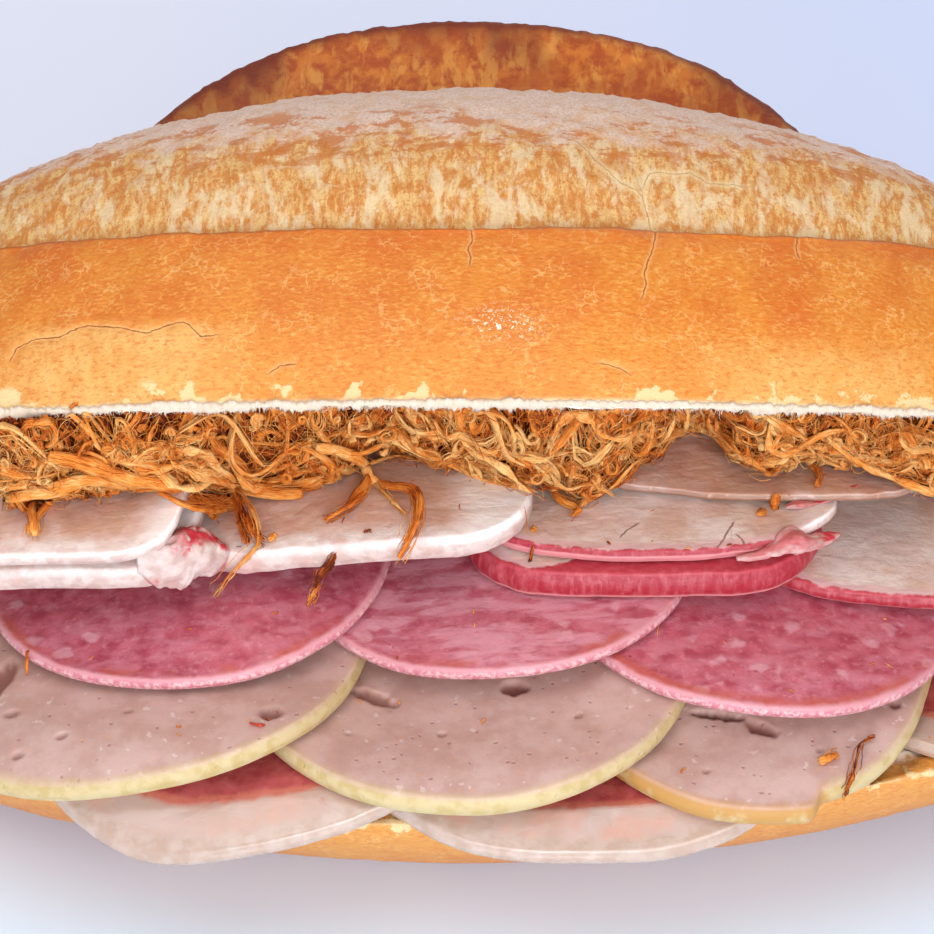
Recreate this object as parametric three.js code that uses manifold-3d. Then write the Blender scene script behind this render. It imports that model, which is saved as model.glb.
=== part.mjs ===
// A banh mi sandwich: a short, fat Vietnamese baguette slit along its front, opened like a mouth and filled
// with shingled rows of cold cuts (ham, steamed pork roll, salami, roast pork) under a heap of pork floss.
// Millimetres. X runs along the loaf, +Y points to the uncut back, +Z up. The origin is on the flat bottom.
import * as THREE from "three";
import { mergeVertices } from "three/addons/utils/BufferGeometryUtils.js";
import Module from "manifold-3d";

const wasm = await Module();
wasm.setup();

// ---------------------------------------------------------------- driving dimensions
const HALF_LENGTH = 112; // loaf, tip to middle
const HALF_WIDTH = 44; // loaf, front to back, at the middle
const BASE_HEIGHT = 25; // from the table up to the knife's cut at the front
const BASE_DEPTH = 29; // the bottom crust's curve, cut off flat by the table
const BASE_HOLLOW = 4; // how far the fillings press the base's crumb down
const HINGE_HEIGHT = 30; // inner end of the cut, at the back
const HINGE_WALL = 10; // crust and crumb left uncut behind it
const POCKET_WALL = 12; // torn crumb in front of it, so the pocket ends in a blunt wall
const LID_HEIGHT = 51; // raised half, above its own cut face
const LIP_PLANE_TILT = 36; // degrees: the raised half's lip lies in a plane that rises like this
const LIP_PLANE_HEIGHT = 52; // distance of that plane from the origin
const STRAIGHT_HALF = 66; // half-length over which the lip keeps to its plane
const SCORE_HEIGHT = 25.4; // front lip of the score, above the lid's cut face
const SCORE_HALF_LENGTH = 90;
const EAR_HEIGHT = 15; // the score's back lip, lifted above the bloom
const EAR_HALF_LENGTH = 57;
const CRUMB_HOLLOW = 9; // how far the fillings press the lid's crumb in
const SLICE_GAP = 0.36; // clear space between neighbouring solids
const BEND_ALONG = 0.003; // how fast a slice curves down past what it rests on, along the loaf, 1/mm
const BEND_ACROSS = 0.02; // and across it
const RAD = Math.PI / 180;

// ---------------------------------------------------------------- small helpers
const clamp = (v, low, high) => Math.min(high, Math.max(low, v));
const mix = (a, b, t) => a + (b - a) * t;
const smooth = (low, high, v) => {
  const t = clamp((v - low) / (high - low), 0, 1);
  return t * t * (3 - 2 * t);
};

// A repeatable random number from 0 to 1.
function seeded(seed) {
  let state = seed;
  return () => {
    state = (state + 0x6d2b79f5) | 0;
    let t = Math.imul(state ^ (state >>> 15), 1 | state);
    t = (t + Math.imul(t ^ (t >>> 7), 61 | t)) ^ t;
    return ((t ^ (t >>> 14)) >>> 0) / 4294967296;
  };
}

// ---------------------------------------------------------------- the loaf's outline
const taper = (x, power) => Math.pow(Math.max(0, 1 - (x / HALF_LENGTH) ** 2), power);
const halfWidth = (x) => HALF_WIDTH * taper(x, 0.6);
const nearTip = (x) => smooth(70, HALF_LENGTH, Math.abs(x));
const lidHeight = (x) => LID_HEIGHT * taper(x, 0.42) * (1 - 0.25 * nearTip(x));
const baseDepth = (x) => BASE_DEPTH * taper(x, 0.4);
const lift = (x) => 1.5 * (x / STRAIGHT_HALF) ** 2; // the tips curve up a little
const hingeY = (x) => halfWidth(x) - Math.min(HINGE_WALL, 0.35 * halfWidth(x));
const hingeZ = (x) => HINGE_HEIGHT + lift(x) - 2 * (1 - taper(x, 0.5));
const reach = (x) => halfWidth(x) + hingeY(x); // from the hinge to the lid's lip

// The angle, in radians, that lays the lid's lip in its plane; past the straight stretch the lid closes.
function lidAngle(x) {
  const at = Math.min(Math.abs(x), STRAIGHT_HALF);
  const tilt = LIP_PLANE_TILT * RAD;
  const height = LIP_PLANE_HEIGHT - 1.3 * (at / STRAIGHT_HALF) ** 2;
  const over = height - hingeZ(at) * Math.cos(tilt) - hingeY(at) * Math.sin(tilt);
  const closing = 1 - 0.5 * smooth(STRAIGHT_HALF, HALF_LENGTH, Math.abs(x));
  return (tilt + Math.asin(over / reach(at))) * closing;
}

// A point of the lid, p from the hinge towards the lip and q above the cut face, as [y, z].
function onLid(x, p, q) {
  const a = lidAngle(x);
  return [hingeY(x) - p * Math.cos(a) + q * Math.sin(a), hingeZ(x) + p * Math.sin(a) + q * Math.cos(a)];
}

const pocketBack = (x) => hingeY(x) - POCKET_WALL * taper(x, 0.6);

const crumbHollow = (x, p) =>
  CRUMB_HOLLOW * taper(x, 0.8) * Math.sin(Math.PI * clamp(p / reach(x), 0, 1));

// Height of the lid's crumb over the place (x, y), found by halving.
function lidCrumb(x, y) {
  let low = 0;
  let high = reach(x);
  for (let i = 0; i < 24; i++) {
    const p = (low + high) / 2;
    if (onLid(x, p, crumbHollow(x, p))[0] > y) low = p;
    else high = p;
  }
  return onLid(x, low, crumbHollow(x, low))[1];
}

// Height of the base's cut face: level, pressed in a little in the middle.
function baseCrumb(x, y) {
  const t = clamp((y + halfWidth(x)) / reach(x), 0, 1);
  const hollow = BASE_HOLLOW * taper(x, 0.8) * Math.sin(Math.PI * t);
  return mix(BASE_HEIGHT + lift(x), hingeZ(x) - 0.8, t) - hollow;
}

// ---------------------------------------------------------------- bread
// One cross-section, a closed C of [y, z] points: bottom crust, back, lid, ear, bloom, band and cut faces.
function breadSection(x) {
  const w = halfWidth(x);
  const h = lidHeight(x);
  const points = [];
  const lid = (yClosed, q) => points.push(onLid(x, hingeY(x) - yClosed, q));

  for (let i = 0; i <= 13; i++) {
    const a = Math.PI + (Math.PI * i) / 13;
    const back = (Math.cos(a) + 1) / 2;
    const level = mix(BASE_HEIGHT + lift(x), hingeZ(x) - 2, back);
    const fullness = mix(1.35, 0.5, back); // the back is squarer and deeper than the front
    const z = level - baseDepth(x) * mix(1, 1.1, back) * Math.pow(Math.abs(Math.sin(a)), fullness);
    points.push([w * Math.cos(a), Math.max(z, 0)]);
  }
  points.push([w * 0.965, hingeZ(x) - 0.4]);

  const merge = smooth(EAR_HALF_LENGTH, SCORE_HALF_LENGTH, Math.abs(x));
  const earFoot = mix(78, 92, merge) * RAD;
  const score = SCORE_HEIGHT + 0.5 * (x / 63) ** 2;
  const scoreAngle = Math.max(Math.PI - Math.asin(clamp(score / h, 0, 0.985)), earFoot + 0.06);
  const ear = EAR_HEIGHT * Math.max(0, 1 - Math.pow(Math.abs(x - 1.5) / EAR_HALF_LENGTH, 3));
  const backEnd = earFoot - 0.36;
  for (let i = 0; i <= 5; i++) {
    const a = mix(14 * RAD, backEnd, i / 5);
    lid(w * Math.cos(a), h * Math.sin(a));
  }
  const crestQ = h * Math.sin(earFoot);
  const crestY = w * Math.cos(earFoot);
  lid(crestY + 0.14 * w, crestQ - 0.03 * h + 0.55 * ear);
  lid(crestY + 0.1 * w, crestQ - 0.02 * h + 0.98 * ear);
  lid(crestY + 0.06 * w, crestQ - 0.01 * h + ear);
  lid(crestY + 0.015 * w, crestQ - 0.005 * h + 0.5 * ear);

  for (let i = 0; i <= 6; i++) {
    const a = mix(earFoot, scoreAngle, i / 6);
    const recess = 1 - 0.035 * Math.pow(i / 6, 3);
    lid(w * Math.cos(a) * recess, h * Math.sin(a) * recess);
  }
  for (let i = 0; i <= 5; i++) {
    const a = mix(scoreAngle, Math.PI, i / 5);
    lid(w * Math.cos(a), h * Math.sin(a));
  }
  const wall = (hingeY(x) - pocketBack(x)) / Math.cos(lidAngle(x));
  for (let i = 1; i <= 5; i++) {
    const p = mix(reach(x), wall, i / 5);
    points.push(onLid(x, p, crumbHollow(x, p)));
  }
  for (let i = 0; i <= 4; i++) {
    const y = mix(pocketBack(x), -w, i / 4.6);
    points.push([y, baseCrumb(x, y)]);
  }
  return points;
}

// A closed skin through rings of equal length along X, closed by one point at each end.
function loft(rings, firstTip, lastTip) {
  const count = rings[0].length;
  const vertices = [...rings.flat(), firstTip, lastTip];
  const faces = [];
  rings.slice(1).forEach((_, i) => {
    for (let j = 0; j < count; j++) {
      const a = i * count + j;
      const b = i * count + ((j + 1) % count);
      faces.push([a, b, b + count], [a, b + count, a + count]);
    }
  });
  const last = (rings.length - 1) * count;
  for (let j = 0; j < count; j++) {
    const next = (j + 1) % count;
    faces.push([next, j, vertices.length - 2], [last + j, last + next, vertices.length - 1]);
  }
  return geometryOf(vertices, faces);
}

function geometryOf(vertices, faces) {
  const geometry = new THREE.BufferGeometry();
  geometry.setAttribute("position", new THREE.Float32BufferAttribute(vertices.flat(), 3));
  geometry.setIndex(faces.flat());
  return geometry;
}

function bread() {
  const stations = 44;
  const rings = [];
  for (let i = 0; i <= stations; i++) {
    const turn = 0.43 * Math.PI; // the sections crowd towards the tips
    const x = (0.985 * HALF_LENGTH * Math.sin(mix(-turn, turn, i / stations))) / Math.sin(turn);
    rings.push(breadSection(x).map(([y, z]) => [x, y, z]));
  }
  const tipZ = hingeZ(HALF_LENGTH) - 1;
  return loft(rings, [-HALF_LENGTH, 0, tipZ], [HALF_LENGTH, 0, tipZ]);
}

// ---------------------------------------------------------------- what lies on what
// Highest surface so far over each cell of a 1 mm grid; it starts as the base's cut face.
const GRID = { x0: -110, y0: -60, nx: 221, ny: 101 };
const EMPTY = -1000;
const support = new Float32Array(GRID.nx * GRID.ny).fill(EMPTY);
const cell = (i, j) => j * GRID.nx + i;
for (let j = 0; j < GRID.ny; j++)
  for (let i = 0; i < GRID.nx; i++) {
    const x = GRID.x0 + i;
    const y = GRID.y0 + j;
    if (y > -halfWidth(x) && y < hingeY(x)) support[cell(i, j)] = baseCrumb(x, y);
  }

// Highest support within a few millimetres of a place.
function supportNear(x, y, radius) {
  let best = EMPTY;
  for (let j = Math.ceil(y - radius); j <= y + radius; j++)
    for (let i = Math.ceil(x - radius); i <= x + radius; i++) {
      const [u, v] = [i - GRID.x0, j - GRID.y0];
      if (u >= 0 && v >= 0 && u < GRID.nx && v < GRID.ny) best = Math.max(best, support[cell(u, v)]);
    }
  return best;
}

// Calls visit(cell, x, y, z) for each grid cell under the triangle a, b, c.
function eachCell(a, b, c, margin, visit) {
  const area = (b[0] - a[0]) * (c[1] - a[1]) - (c[0] - a[0]) * (b[1] - a[1]);
  if (Math.abs(area) < 1e-6) return;
  const xs = [a[0], b[0], c[0]];
  const ys = [a[1], b[1], c[1]];
  for (let j = Math.ceil(Math.min(...ys) - margin); j <= Math.max(...ys) + margin; j++)
    for (let i = Math.ceil(Math.min(...xs) - margin); i <= Math.max(...xs) + margin; i++) {
      const u = ((i - a[0]) * (c[1] - a[1]) - (c[0] - a[0]) * (j - a[1])) / area;
      const v = ((b[0] - a[0]) * (j - a[1]) - (i - a[0]) * (b[1] - a[1])) / area;
      const slack = margin > 0 ? 0.25 : 1e-6;
      if (u < -slack || v < -slack || u + v > 1 + slack) continue;
      const [gi, gj] = [i - GRID.x0, j - GRID.y0];
      if (gi < 0 || gj < 0 || gi >= GRID.nx || gj >= GRID.ny) continue;
      visit(cell(gi, gj), a[2] + u * (b[2] - a[2]) + v * (c[2] - a[2]));
    }
}

// ---------------------------------------------------------------- slices
// A slice is an oval, or a rounded square where square is above 2, turned a little and cut off straight at
// the back. A torn one is set back beyond the tear.
function outline(s, angle) {
  const power = 2 / s.square;
  const c = Math.cos(angle);
  const n = Math.sin(angle);
  const ragged = 1 + s.uneven * (Math.sin(3 * angle + s.x) + 0.6 * Math.sin(5 * angle + 2 * s.x));
  const torn = s.torn ? 1 - s.torn * smooth(-1.36, -1.27, angle) * (1 - smooth(-0.4, 0.2, angle)) : 1;
  const u = s.rx * ragged * torn * Math.sign(c) * Math.pow(Math.abs(c), power);
  const v = s.ry * ragged * torn * Math.sign(n) * Math.pow(Math.abs(n), power);
  const turn = (s.turn ?? 0) * RAD;
  const x = s.x + u * Math.cos(turn) - v * Math.sin(turn);
  const y = s.y + u * Math.sin(turn) + v * Math.cos(turn);
  return [x, Math.min(y, roomBack(x, s))];
}

// How far back a slice reaches at x before the opening gets too low for it.
function roomBack(x, s) {
  let y = Math.min(s.back, pocketBack(x) - 1.5);
  while (y > -30 && lidCrumb(x, y) - supportNear(x, y, 2) < s.thick + 4 * SLICE_GAP) y -= 0.5;
  return y;
}

const SEGMENTS = 28;
const RINGS = [0.4, 0.74, 1];

// Lays one slice on what is there already: its underside is the smooth upper hull of its support, and
// its top lies one thickness above. Both faces have the same triangles.
function slice(s) {
  const plan = [[s.x, Math.min(s.y, s.back - 4)]];
  for (const ring of RINGS)
    for (let k = 0; k < SEGMENTS; k++) {
      const around = (2 * Math.PI * k) / SEGMENTS;
      const [ox, oy] = outline(s, around - 0.45 * Math.sin(around) - Math.PI / 2);
      plan.push([mix(plan[0][0], ox, ring), mix(plan[0][1], oy, ring)]);
    }
  const faces = [];
  for (let k = 0; k < SEGMENTS; k++) {
    const next = (k + 1) % SEGMENTS;
    faces.push([0, 1 + k, 1 + next]);
    for (let r = 0; r < RINGS.length - 1; r++) {
      const inner = 1 + r * SEGMENTS;
      const outer = inner + SEGMENTS;
      faces.push([inner + k, outer + k, outer + next], [inner + k, outer + next, inner + next]);
    }
  }

  const [from, to, rise] = s.curl ?? [0, 1, 0]; // a front corner that turns up
  const curl = (x, y) => rise * smooth(from, to, x) * smooth(-2, -10, y);
  const held = [];
  const flat = plan.map(([x, y]) => [x, y, 0]);
  for (const [a, b, c] of faces)
    eachCell(flat[a], flat[b], flat[c], 1, (at) => {
      const x = GRID.x0 + (at % GRID.nx);
      const y = GRID.y0 + Math.floor(at / GRID.nx);
      if (support[at] > EMPTY) held.push([x, y, support[at]]);
    });
  const under = plan.map(([x, y]) => {
    let z = EMPTY;
    for (const [hx, hy, hz] of held)
      z = Math.max(z, hz - BEND_ALONG * (hx - x) ** 2 - BEND_ACROSS * (hy - y) ** 2);
    const over = Math.max(0, 3 - y - halfWidth(x)); // past the bread's front lip it hangs down
    return z + 1.4 * SLICE_GAP - s.limp * over * over + curl(x, y);
  });

  // Each triangle is raised until it clears its support everywhere.
  const raise = new Float32Array(plan.length);
  for (const face of faces) {
    const corners = face.map((v) => [...plan[v], under[v]]);
    let short = 0;
    eachCell(...corners, 1, (at, z) => {
      short = Math.max(short, support[at] + SLICE_GAP - z);
    });
    for (const v of face) raise[v] = Math.max(raise[v], short);
  }
  const bottom = plan.map(([x, y], v) => [x, y, under[v] + raise[v]]);
  const top = bottom.map(([x, y, z]) => [x, y, z + s.thick]);
  for (const [a, b, c] of faces)
    eachCell(top[a], top[b], top[c], 1, (at, z) => {
      support[at] = Math.max(support[at], z);
    });

  const count = plan.length;
  const skin = [];
  for (const [a, b, c] of faces) skin.push([a, c, b], [a + count, b + count, c + count]);
  const edge = 1 + (RINGS.length - 1) * SEGMENTS;
  for (let k = 0; k < SEGMENTS; k++) {
    const a = edge + k;
    const b = edge + ((k + 1) % SEGMENTS);
    skin.push([a, b, b + count], [a, b + count, a + count]);
  }
  return geometryOf([...bottom, ...top], skin);
}

// Places are [x, y] of the middle; rows run from the bottom of the stack up, and right to left in a row,
// because each slice's right edge lies on its neighbour.
const HAM = {
  rx: 37, ry: 33.5, thick: 2.4, square: 2.3, uneven: 0.01, back: 2, limp: 0.045,
  colour: 0xe3b9a5, rough: 0.35,
};
const PORK_ROLL = {
  rx: 33, ry: 33, thick: 3.3, square: 2.25, uneven: 0.004, back: 10, limp: 0.015,
  colour: 0xc7a79a, rough: 0.5,
};
const SALAMI = {
  rx: 29, ry: 29, thick: 1.9, square: 2.2, uneven: 0.005, back: 15, limp: 0,
  colour: 0xb85368, rough: 0.4,
};
const ROAST = {
  thick: 2.4, square: 3.2, uneven: 0.012, back: 19, limp: 0,
  colour: 0xcdb5a9, rough: 0.5,
};
const SLICES = {
  ham_right: { ...HAM, x: 77, y: -6, rx: 26, ry: 28 },
  ham_middle: { ...HAM, x: 15.5, y: -16 },
  ham_left: { ...HAM, x: -29.5, y: -14.8 },
  pork_roll_right: { ...PORK_ROLL, x: 40.5, y: -13.5, rx: 27, torn: 0.07 },
  pork_roll_middle: { ...PORK_ROLL, x: 0, y: -14.5 },
  pork_roll_left: { ...PORK_ROLL, x: -47, y: -12 },
  salami_right: { ...SALAMI, x: 42, y: -5.5 },
  salami_middle: { ...SALAMI, x: 4, y: -0.5 },
  salami_left: { ...SALAMI, x: -40, y: -1.5 },
  roast_right: { ...ROAST, x: 65, y: 6.5, rx: 29, ry: 20, square: 2.6, thick: 2.2 },
  roast_red_lower: { ...ROAST, x: 25, y: 1.5, rx: 26, ry: 17.5, thick: 4.4 },
  roast_red_upper: { ...ROAST, x: 27, y: 3, rx: 26, ry: 17, thick: 2, curl: [43, 52, 2.5] },
  roast_middle: { ...ROAST, x: -15, y: 1.5, rx: 24, ry: 17, square: 4, thick: 3.8 },
  roast_left_lower: {
    ...ROAST, x: -56.5, y: -1, rx: 19.5, ry: 18, square: 5, turn: -6, back: 10, thick: 3.6,
    curl: [-46, -38, 1],
  },
  roast_left_upper: {
    ...ROAST, x: -57, y: -2.5, rx: 19, ry: 18, square: 5, turn: -6, back: 5, thick: 2,
    curl: [-48, -40, 2],
  },
  roast_back: { ...ROAST, x: 42, y: 8, rx: 25, ry: 12, back: 13.5, thick: 1.2, turn: -4 },
};

// ---------------------------------------------------------------- pork floss
const FLOSS_HALF_LENGTH = 96;
const FLOSS_BACK = 15; // behind this its floor is level, over the backs of the slices
const FLOSS_CLEAR = 0.9;
const STRANDS = 31;
const STRAND_RADIUS = 0.75;

// The foot of the heap lies this far below the lid's lip, measured square to the lip's plane, at places
// along the loaf: [x, drop]. It is lower at the left, with a bare place between two clumps on the right.
const FLOSS_FOOT = [
  [-96, 7], [-75, 12], [-62, 13.5], [-45, 10.5], [-32, 11], [-20, 9.5], [-10, 6], [-3, 8], [6, 10], [15, 12],
  [22, 10], [28, 6.5], [31, 2], [33.3, 1.2], [35.5, 2], [38, 7], [43, 9], [50, 6.5], [57, 7.5], [66, 10.5],
  [80, 9], [96, 6],
];

function footDrop(x) {
  const after = clamp(FLOSS_FOOT.findIndex(([at]) => at > x), 1, FLOSS_FOOT.length - 1);
  const [[x0, drop0], [x1, drop1]] = [FLOSS_FOOT[after - 1], FLOSS_FOOT[after]];
  return mix(drop0, drop1, (x - x0) / (x1 - x0));
}

// How far forward the foot comes: down the slices, from the back, until it is that low.
function flossFront(x) {
  const tilt = LIP_PLANE_TILT * RAD;
  let y = FLOSS_BACK;
  const level = LIP_PLANE_HEIGHT - footDrop(x);
  while (y > -10 && y * Math.sin(tilt) + flossFloor(x, y) * Math.cos(tilt) > level) y -= 0.5;
  return y;
}

const flossTop = (x, y) => lidCrumb(x, y) - FLOSS_CLEAR;

function flossFloor(x, y) {
  const at = Math.min(y, FLOSS_BACK);
  return Math.max(supportNear(x, at, 4.2), baseCrumb(x, at)) + FLOSS_CLEAR;
}

// One cross-section of the heap: floor from back to front, the lumpy front face, then up under the lid.
function flossSection(x) {
  const front = Math.min(flossFront(x), hingeY(x) - 9);
  let back = pocketBack(x) - 1.5;
  while (back > front + 1 && flossTop(x, back) - flossFloor(x, back) < 1.5) back -= 0.5;
  const points = [];
  for (let i = 0; i <= 4; i++) {
    const y = mix(back, front, i / 4);
    points.push([y, Math.min(flossFloor(x, y), flossTop(x, y) - 0.8)]);
  }
  const brow = front - 9 * taper(x, 0.7) - 1.5 * Math.sin(x / 5);
  const foot = points[points.length - 1][1];
  const roof = flossTop(x, brow);
  for (let i = 1; i <= 3; i++) {
    const t = i / 4;
    const bulge = 2.2 * Math.sin(x / 4.1 + 2.4 * i) + 1.2 * Math.sin(x / 2.3 + i);
    const y = mix(front, brow, t) + bulge;
    const z = mix(foot, roof, t);
    points.push([y, clamp(z, flossFloor(x, y), Math.max(flossFloor(x, y), flossTop(x, y)))]);
  }
  for (let i = 0; i <= 4; i++) {
    const y = mix(brow, back, i / 4.4);
    points.push([y, flossTop(x, y)]);
  }
  return points.reverse();
}

function solidOf(geometry) {
  const bare = geometry.clone();
  bare.deleteAttribute("normal");
  bare.deleteAttribute("uv");
  const merged = mergeVertices(bare, 1e-4);
  return new wasm.Manifold(
    new wasm.Mesh({
      numProp: 3,
      vertProperties: merged.attributes.position.array,
      triVerts: new Uint32Array(merged.index.array),
    }),
  );
}

// A curled strand that leaves the heap's front, arcs out and lies down on the meat.
function strand(random) {
  const x = mix(-FLOSS_HALF_LENGTH + 14, FLOSS_HALF_LENGTH - 14, random());
  const turn = mix(-1, 1, random());
  const length = mix(9, 20, random());
  const root = flossFront(x) + 1.5;
  const rise = mix(0.25, 0.9, random());
  const path = [];
  for (let i = 0; i <= 6; i++) {
    const t = i / 6;
    const px = x + turn * length * t + 2 * Math.sin(5 * t + 6 * turn);
    const py = root - 8 * Math.sin(Math.PI * t * 0.62) * mix(0.6, 1, Math.abs(turn)) - 2 * t;
    const low = flossFloor(px, py) + STRAND_RADIUS + 0.3;
    const high = Math.max(low, flossTop(px, py) - STRAND_RADIUS);
    path.push(new THREE.Vector3(px, py, mix(low, high, rise * (1 - t) * (1 - 0.4 * t))));
  }
  const section = new THREE.Shape();
  for (let k = 0; k < 4; k++) {
    const a = (Math.PI / 2) * k;
    const place = [STRAND_RADIUS * Math.cos(a), STRAND_RADIUS * Math.sin(a)];
    if (k) section.lineTo(...place);
    else section.moveTo(...place);
  }
  const curve = new THREE.CatmullRomCurve3(path);
  return new THREE.ExtrudeGeometry(section, { steps: 8, bevelEnabled: false, extrudePath: curve });
}

function floss(beneath) {
  const random = seeded(11);
  const rings = [];
  for (let x = -FLOSS_HALF_LENGTH; x <= FLOSS_HALF_LENGTH; x += 4)
    rings.push(flossSection(x).map(([y, z]) => [x, y, z]));
  const middle = (ring) => [0, 1, 2].map((k) => ring.reduce((sum, p) => sum + p[k], 0) / ring.length);
  let heap = solidOf(loft(rings, middle(rings[0]), middle(rings[rings.length - 1])));
  for (let i = 0; i < STRANDS; i++) heap = heap.add(solidOf(strand(random)));
  for (const under of beneath) heap = heap.subtract(solidOf(under.clone().translate(0, 0, SLICE_GAP)));
  const [largest] = heap.decompose().sort((a, b) => b.volume() - a.volume());
  const mesh = largest.getMesh();
  const geometry = new THREE.BufferGeometry();
  geometry.setAttribute("position", new THREE.BufferAttribute(mesh.vertProperties, 3));
  geometry.setIndex(new THREE.BufferAttribute(mesh.triVerts, 1));
  return geometry;
}

// ---------------------------------------------------------------- the sandwich
const sandwich = new THREE.Group();

function place(name, geometry, colour, roughness) {
  const material = new THREE.MeshStandardMaterial({ color: colour, roughness, metalness: 0 });
  const mesh = new THREE.Mesh(geometry, material);
  mesh.name = name;
  sandwich.add(mesh);
}

place("bread", bread(), 0xd98b3a, 0.55);
const beneath = [];
for (const [name, s] of Object.entries(SLICES)) {
  const geometry = slice(s);
  place(name, geometry, s.colour, s.rough);
  if (name.startsWith("roast")) beneath.push(geometry);
}
place("pork_floss", floss(beneath), 0xc9883c, 0.85);

export default sandwich;
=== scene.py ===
"""A banh mi: a slit baguette with shingled cold cuts, roast pork and a heap of pork floss.

Lengths inside the shape functions are millimetres, the same as the part's own formulas; meshes are put into
Blender in metres. X runs along the loaf, +Y points to the uncut back, +Z up.
"""

import math

import bpy
import numpy as np
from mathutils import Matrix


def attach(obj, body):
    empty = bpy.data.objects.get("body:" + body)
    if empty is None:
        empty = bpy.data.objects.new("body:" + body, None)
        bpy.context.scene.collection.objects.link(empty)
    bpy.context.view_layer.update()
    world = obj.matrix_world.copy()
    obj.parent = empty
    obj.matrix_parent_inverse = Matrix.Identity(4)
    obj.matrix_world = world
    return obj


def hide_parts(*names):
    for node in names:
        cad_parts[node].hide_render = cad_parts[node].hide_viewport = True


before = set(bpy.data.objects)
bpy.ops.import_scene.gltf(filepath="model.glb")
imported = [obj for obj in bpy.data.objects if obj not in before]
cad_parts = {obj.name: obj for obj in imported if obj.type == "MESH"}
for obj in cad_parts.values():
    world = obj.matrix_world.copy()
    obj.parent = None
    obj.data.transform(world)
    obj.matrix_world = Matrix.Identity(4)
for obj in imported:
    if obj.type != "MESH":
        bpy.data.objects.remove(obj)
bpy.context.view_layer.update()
MM = 0.001

# ------------------------------------------------------------------ driving dimensions, as in the part
HALF_LENGTH = 112.0
HALF_WIDTH = 44.0
BASE_HEIGHT = 25.0
BASE_DEPTH = 29.0
BASE_HOLLOW = 4.0
HINGE_HEIGHT = 30.0
HINGE_WALL = 10.0
POCKET_WALL = 12.0
LID_HEIGHT = 51.0
LIP_PLANE_TILT = math.radians(36)
LIP_PLANE_HEIGHT = 52.0
STRAIGHT_HALF = 66.0
SCORE_HEIGHT = 25.4
SCORE_HALF_LENGTH = 90.0
EAR_HEIGHT = 15.0
EAR_HALF_LENGTH = 57.0
EAR_MIDDLE = 1.5
CRUMB_HOLLOW = 9.0
SLICE_GAP = 0.36
SLICE_STIFFNESS = (0.003, 0.02)


# ------------------------------------------------------------------ small helpers
def mix(a, b, t):
    """a where t is 0, b where t is 1, straight between."""
    return a + (b - a) * t


def smooth(low, high, v):
    """0 below low, 1 above high, t * t * (3 - 2 t) between."""
    t = np.clip((v - low) / (high - low), 0.0, 1.0)
    return t * t * (3 - 2 * t)


def bell(v, middle, width):
    """exp of minus the squared distance from the middle, in widths."""
    return np.exp(-(((v - middle) / width) ** 2))


def hashed(i, j, k, seed):
    """A repeatable number from 0 to 1 for each whole-number place: products of large primes, bits mixed."""
    n = (i * 374761393 + j * 668265263 + k * 1440662683 + seed * 144665) & 0xFFFFFFFF
    n = ((n ^ (n >> 13)) * 1274126177) & 0xFFFFFFFF
    n = ((n ^ (n >> 15)) * 668265263) & 0xFFFFFFFF
    return (n ^ (n >> 16)) / 4294967296.0


def noise(x, y, z=0.0, seed=0):
    """Smooth random values from -1 to 1: the eight hashed numbers round a place, blended by smooth steps."""
    x, y, z = np.broadcast_arrays(x, y, z)
    cells = [np.floor(v).astype(np.int64) for v in (x, y, z)]
    parts = [v - c for v, c in zip((x, y, z), cells)]
    u, v, w = [t * t * t * (t * (6 * t - 15) + 10) for t in parts]
    i, j, k = cells
    corner = lambda a, b, c: hashed(i + a, j + b, k + c, seed)
    low = mix(mix(corner(0, 0, 0), corner(1, 0, 0), u), mix(corner(0, 1, 0), corner(1, 1, 0), u), v)
    high = mix(mix(corner(0, 0, 1), corner(1, 0, 1), u), mix(corner(0, 1, 1), corner(1, 1, 1), u), v)
    return 2 * mix(low, high, w) - 1


def cloud(x, y, z=0.0, seed=0, octaves=4):
    """Sum of noises, each twice as fine and half as strong as the one before."""
    total = 0.0
    for o in range(octaves):
        f = 2.0**o
        total = total + noise(x * f, y * f, z * f, seed + 17 * o) / f
    return total / 1.9


def nearest_point(x, y, seed):
    """Distance to the nearest of random points, of which each unit square holds one."""
    i, j = np.floor(x).astype(np.int64), np.floor(y).astype(np.int64)
    nearest = np.full(x.shape, 9.0)
    for a in (-1, 0, 1):
        for b in (-1, 0, 1):
            px = i + a + hashed(i + a, j + b, 0 * i, seed)
            py = j + b + hashed(i + a, j + b, 0 * i + 1, seed)
            nearest = np.minimum(nearest, np.hypot(px - x, py - y))
    return nearest


# ------------------------------------------------------------------ meshes
def smooth_mesh(name, vertices, faces, attributes):
    """A smooth shaded object from points in millimetres and rows of four corners; -1 stands for no corner.

    Attributes hold one number or one vector a point.
    """
    vertices = np.asarray(vertices, float).reshape(-1, 3) * MM
    mesh = bpy.data.meshes.new(name)
    mesh.vertices.add(len(vertices))
    mesh.vertices.foreach_set("co", vertices.astype(np.float32).ravel())
    faces = np.asarray(faces, np.int32)
    sizes = np.where(faces[:, 3] < 0, 3, 4).astype(np.int32)
    loops = faces.ravel()
    loops = loops[loops >= 0]
    mesh.loops.add(len(loops))
    mesh.loops.foreach_set("vertex_index", loops)
    mesh.polygons.add(len(faces))
    starts = np.concatenate([[0], np.cumsum(sizes)[:-1]]).astype(np.int32)
    mesh.polygons.foreach_set("loop_start", starts)
    mesh.polygons.foreach_set("loop_total", sizes)
    mesh.polygons.foreach_set("use_smooth", np.ones(len(faces), bool))
    for key, values in attributes.items():
        values = np.asarray(values, np.float32)
        vector = values.size == vertices.size
        layer = mesh.attributes.new(key, "FLOAT_VECTOR" if vector else "FLOAT", "POINT")
        layer.data.foreach_set("vector" if vector else "value", values.ravel())
    mesh.validate()
    mesh.update()
    piece = bpy.data.objects.new(name, mesh)
    bpy.context.scene.collection.objects.link(piece)
    return piece


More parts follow.
